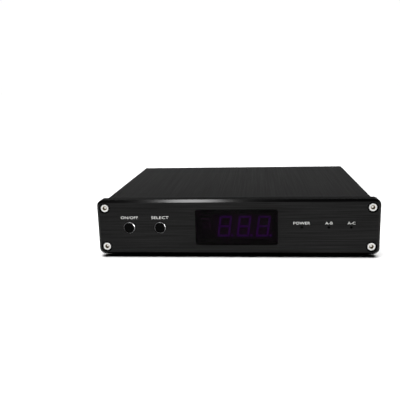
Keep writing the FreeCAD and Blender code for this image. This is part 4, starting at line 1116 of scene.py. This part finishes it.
@dataclass(frozen=True)
class Viewpoint:
    """Where the camera stands and what it is aimed at.

    Attributes:
        place: in mm.
        pitch: degrees down from level.
        yaw: degrees to the left of straight back.
        roll: degrees clockwise about the view.
        focal: focal length in pixels of the image.
        centre: the optical axis in the image, in pixels from its upper left corner.
        nearest: distance where the view starts.
    """

    place: tuple[float, float, float] = (13.78, -405.12, 113.92)
    pitch: float = 12.32
    yaw: float = 4.68
    roll: float = 1.35
    focal: float = 516.74
    centre: tuple[float, float] = (216.0, 195.0)
    nearest: float = 0.01

    def set_up(self) -> None:
        """Make the camera, rolled about its view, then raised from straight down, then turned by the yaw."""
        turns = ((self.yaw, "Z"), (90 - self.pitch, "X"), (-self.roll, "Z"))
        turn, tilt, roll = (Matrix.Rotation(math.radians(angle), 4, axis) for angle, axis in turns)
        lens = bpy.data.cameras.new("camera")
        lens.sensor_width = SENSOR
        lens.lens = self.focal / IMAGE_SIDE * SENSOR
        lens.shift_x = (IMAGE_SIDE / 2 - self.centre[0]) / IMAGE_SIDE
        lens.shift_y = (self.centre[1] - IMAGE_SIDE / 2) / IMAGE_SIDE
        lens.clip_start = self.nearest
        camera = link_new("camera", lens)
        camera.matrix_world = Matrix.Translation(Vector(self.place) * MM) @ turn @ tilt @ roll
        bpy.context.scene.camera = camera


@dataclass(frozen=True)
class SoftBox:
    """One soft light: a rectangle that shines towards a point.

    Attributes:
        name: the light's name.
        place: its middle.
        target: the point that it faces.
        size: width and depth.
        radiance: brightness of its face when nothing narrows its beam.
        only_glints: whether it shows in reflections alone and lights no matt surface.
        beam: width of its beam in degrees; under 180 a honeycomb gathers the same power into it.
    """

    name: str
    place: tuple[float, float, float]
    target: tuple[float, float, float]
    size: tuple[float, float]
    radiance: float
    only_glints: bool = False
    beam: float = 180.0

    def hang(self) -> None:
        """Make the light: its power is radiance times area times pi, and its face turns to the target."""
        lamp = bpy.data.lights.new(self.name, "AREA")
        lamp.shape = "RECTANGLE"
        lamp.size, lamp.size_y = self.size
        lamp.energy = self.radiance * self.size[0] * self.size[1] * math.pi
        lamp.spread = math.radians(self.beam)
        holder = link_new(self.name, lamp)
        holder.location = self.place
        toward = Vector(self.target) - Vector(self.place)
        holder.rotation_euler = toward.to_track_quat("-Z", "Y").to_euler()
        holder.visible_diffuse = not self.only_glints


@dataclass(frozen=True)
class DistantLight:
    """A large far light, even all over the floor, that lights matt surfaces and is left out of reflections.

    Attributes:
        name: the light's name.
        source: the direction that it shines from.
        angle: its width as seen from the floor, in degrees.
        strength: light on a surface that faces it.
    """

    name: str
    source: tuple[float, float, float]
    angle: float
    strength: float

    def hang(self) -> None:
        """Make the light, shining straight away from its source."""
        lamp = bpy.data.lights.new(self.name, "SUN")
        lamp.angle = math.radians(self.angle)
        lamp.energy = self.strength
        holder = link_new(self.name, lamp)
        holder.rotation_euler = (-Vector(self.source)).to_track_quat("-Z", "Y").to_euler()
        holder.visible_glossy = False


@dataclass
class Studio:
    """A white floor, soft lights, and a surround that is white near the horizon and dim above.

    The surround shows behind the object and in reflections, and lights no matt surface.

    Attributes:
        horizon: brightness of the surround near the horizon.
        ceiling: brightness of the surround overhead.
        band: heights, as sines, between which one turns into the other.
        floor_side: half the floor's width.
        lights: the lights.
    """

    horizon: float = 1.01
    ceiling: float = 0.17
    band: tuple[float, float] = (0.22, 0.5)
    floor_side: float = 6.0
    lights: tuple[SoftBox | DistantLight, ...] = (
        DistantLight("overhead_light", (0.0, 0.0, 1.0), 60.0, 4.5),
        SoftBox("bevel_box", (-0.108, -0.215, 0.64), (-0.045, -0.079, 0.039), (0.085, 0.085), 46.0),
        SoftBox("ring_box", (0.5, -0.28, 0.2), (-0.06, -0.08, 0.02), (0.2, 0.3), 1.5, only_glints=True,
                beam=16.0),
    )

    def light_surround(self) -> None:
        """Give the surround its brightness by height, and keep its light off matt surfaces."""
        world = bpy.data.worlds.new("surround")
        world.use_nodes = True
        tree = world.node_tree
        tree.nodes.clear()
        height = add(tree, "SeparateXYZ", {0: add(tree, "TexCoord").outputs["Generated"]}).outputs["Z"]
        strength = remap(tree, height, (self.horizon, self.ceiling), self.band,
                         interpolation_type="SMOOTHSTEP")
        light = add(tree, "Background", {"Color": (1, 1, 1, 1), "Strength": strength})
        add(tree, "OutputWorld", {"Surface": light.outputs[0]})
        world.cycles_visibility.diffuse = False
        bpy.context.scene.world = world

    def set_up(self) -> None:
        """Lay the floor, light the surround and hang the lights."""
        side = self.floor_side
        corners = np.array([(-side, -side, 0), (side, -side, 0), (side, side, 0), (-side, side, 0)])
        floor = to_mesh("studio_floor", corners, [[0, 1, 2, 3]], smooth=False)
        PAPER.put_on(floor)
        self.light_surround()
        bpy.context.scene.view_settings.view_transform = "Standard"
        for light in self.lights:
            light.hang()


def main() -> None:
    """Build the sub-assemblies in order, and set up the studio."""
    logging.basicConfig(level=logging.INFO, format="%(message)s")
    for assembly in (FrontPanel(), PushButtons(), Display(), Indicators(), Case(), Fasteners(), Electronics(),
                     BindingPosts()):
        assembly.make()
    Viewpoint().set_up()
    Studio().set_up()


if __name__ == "__main__":
    main()
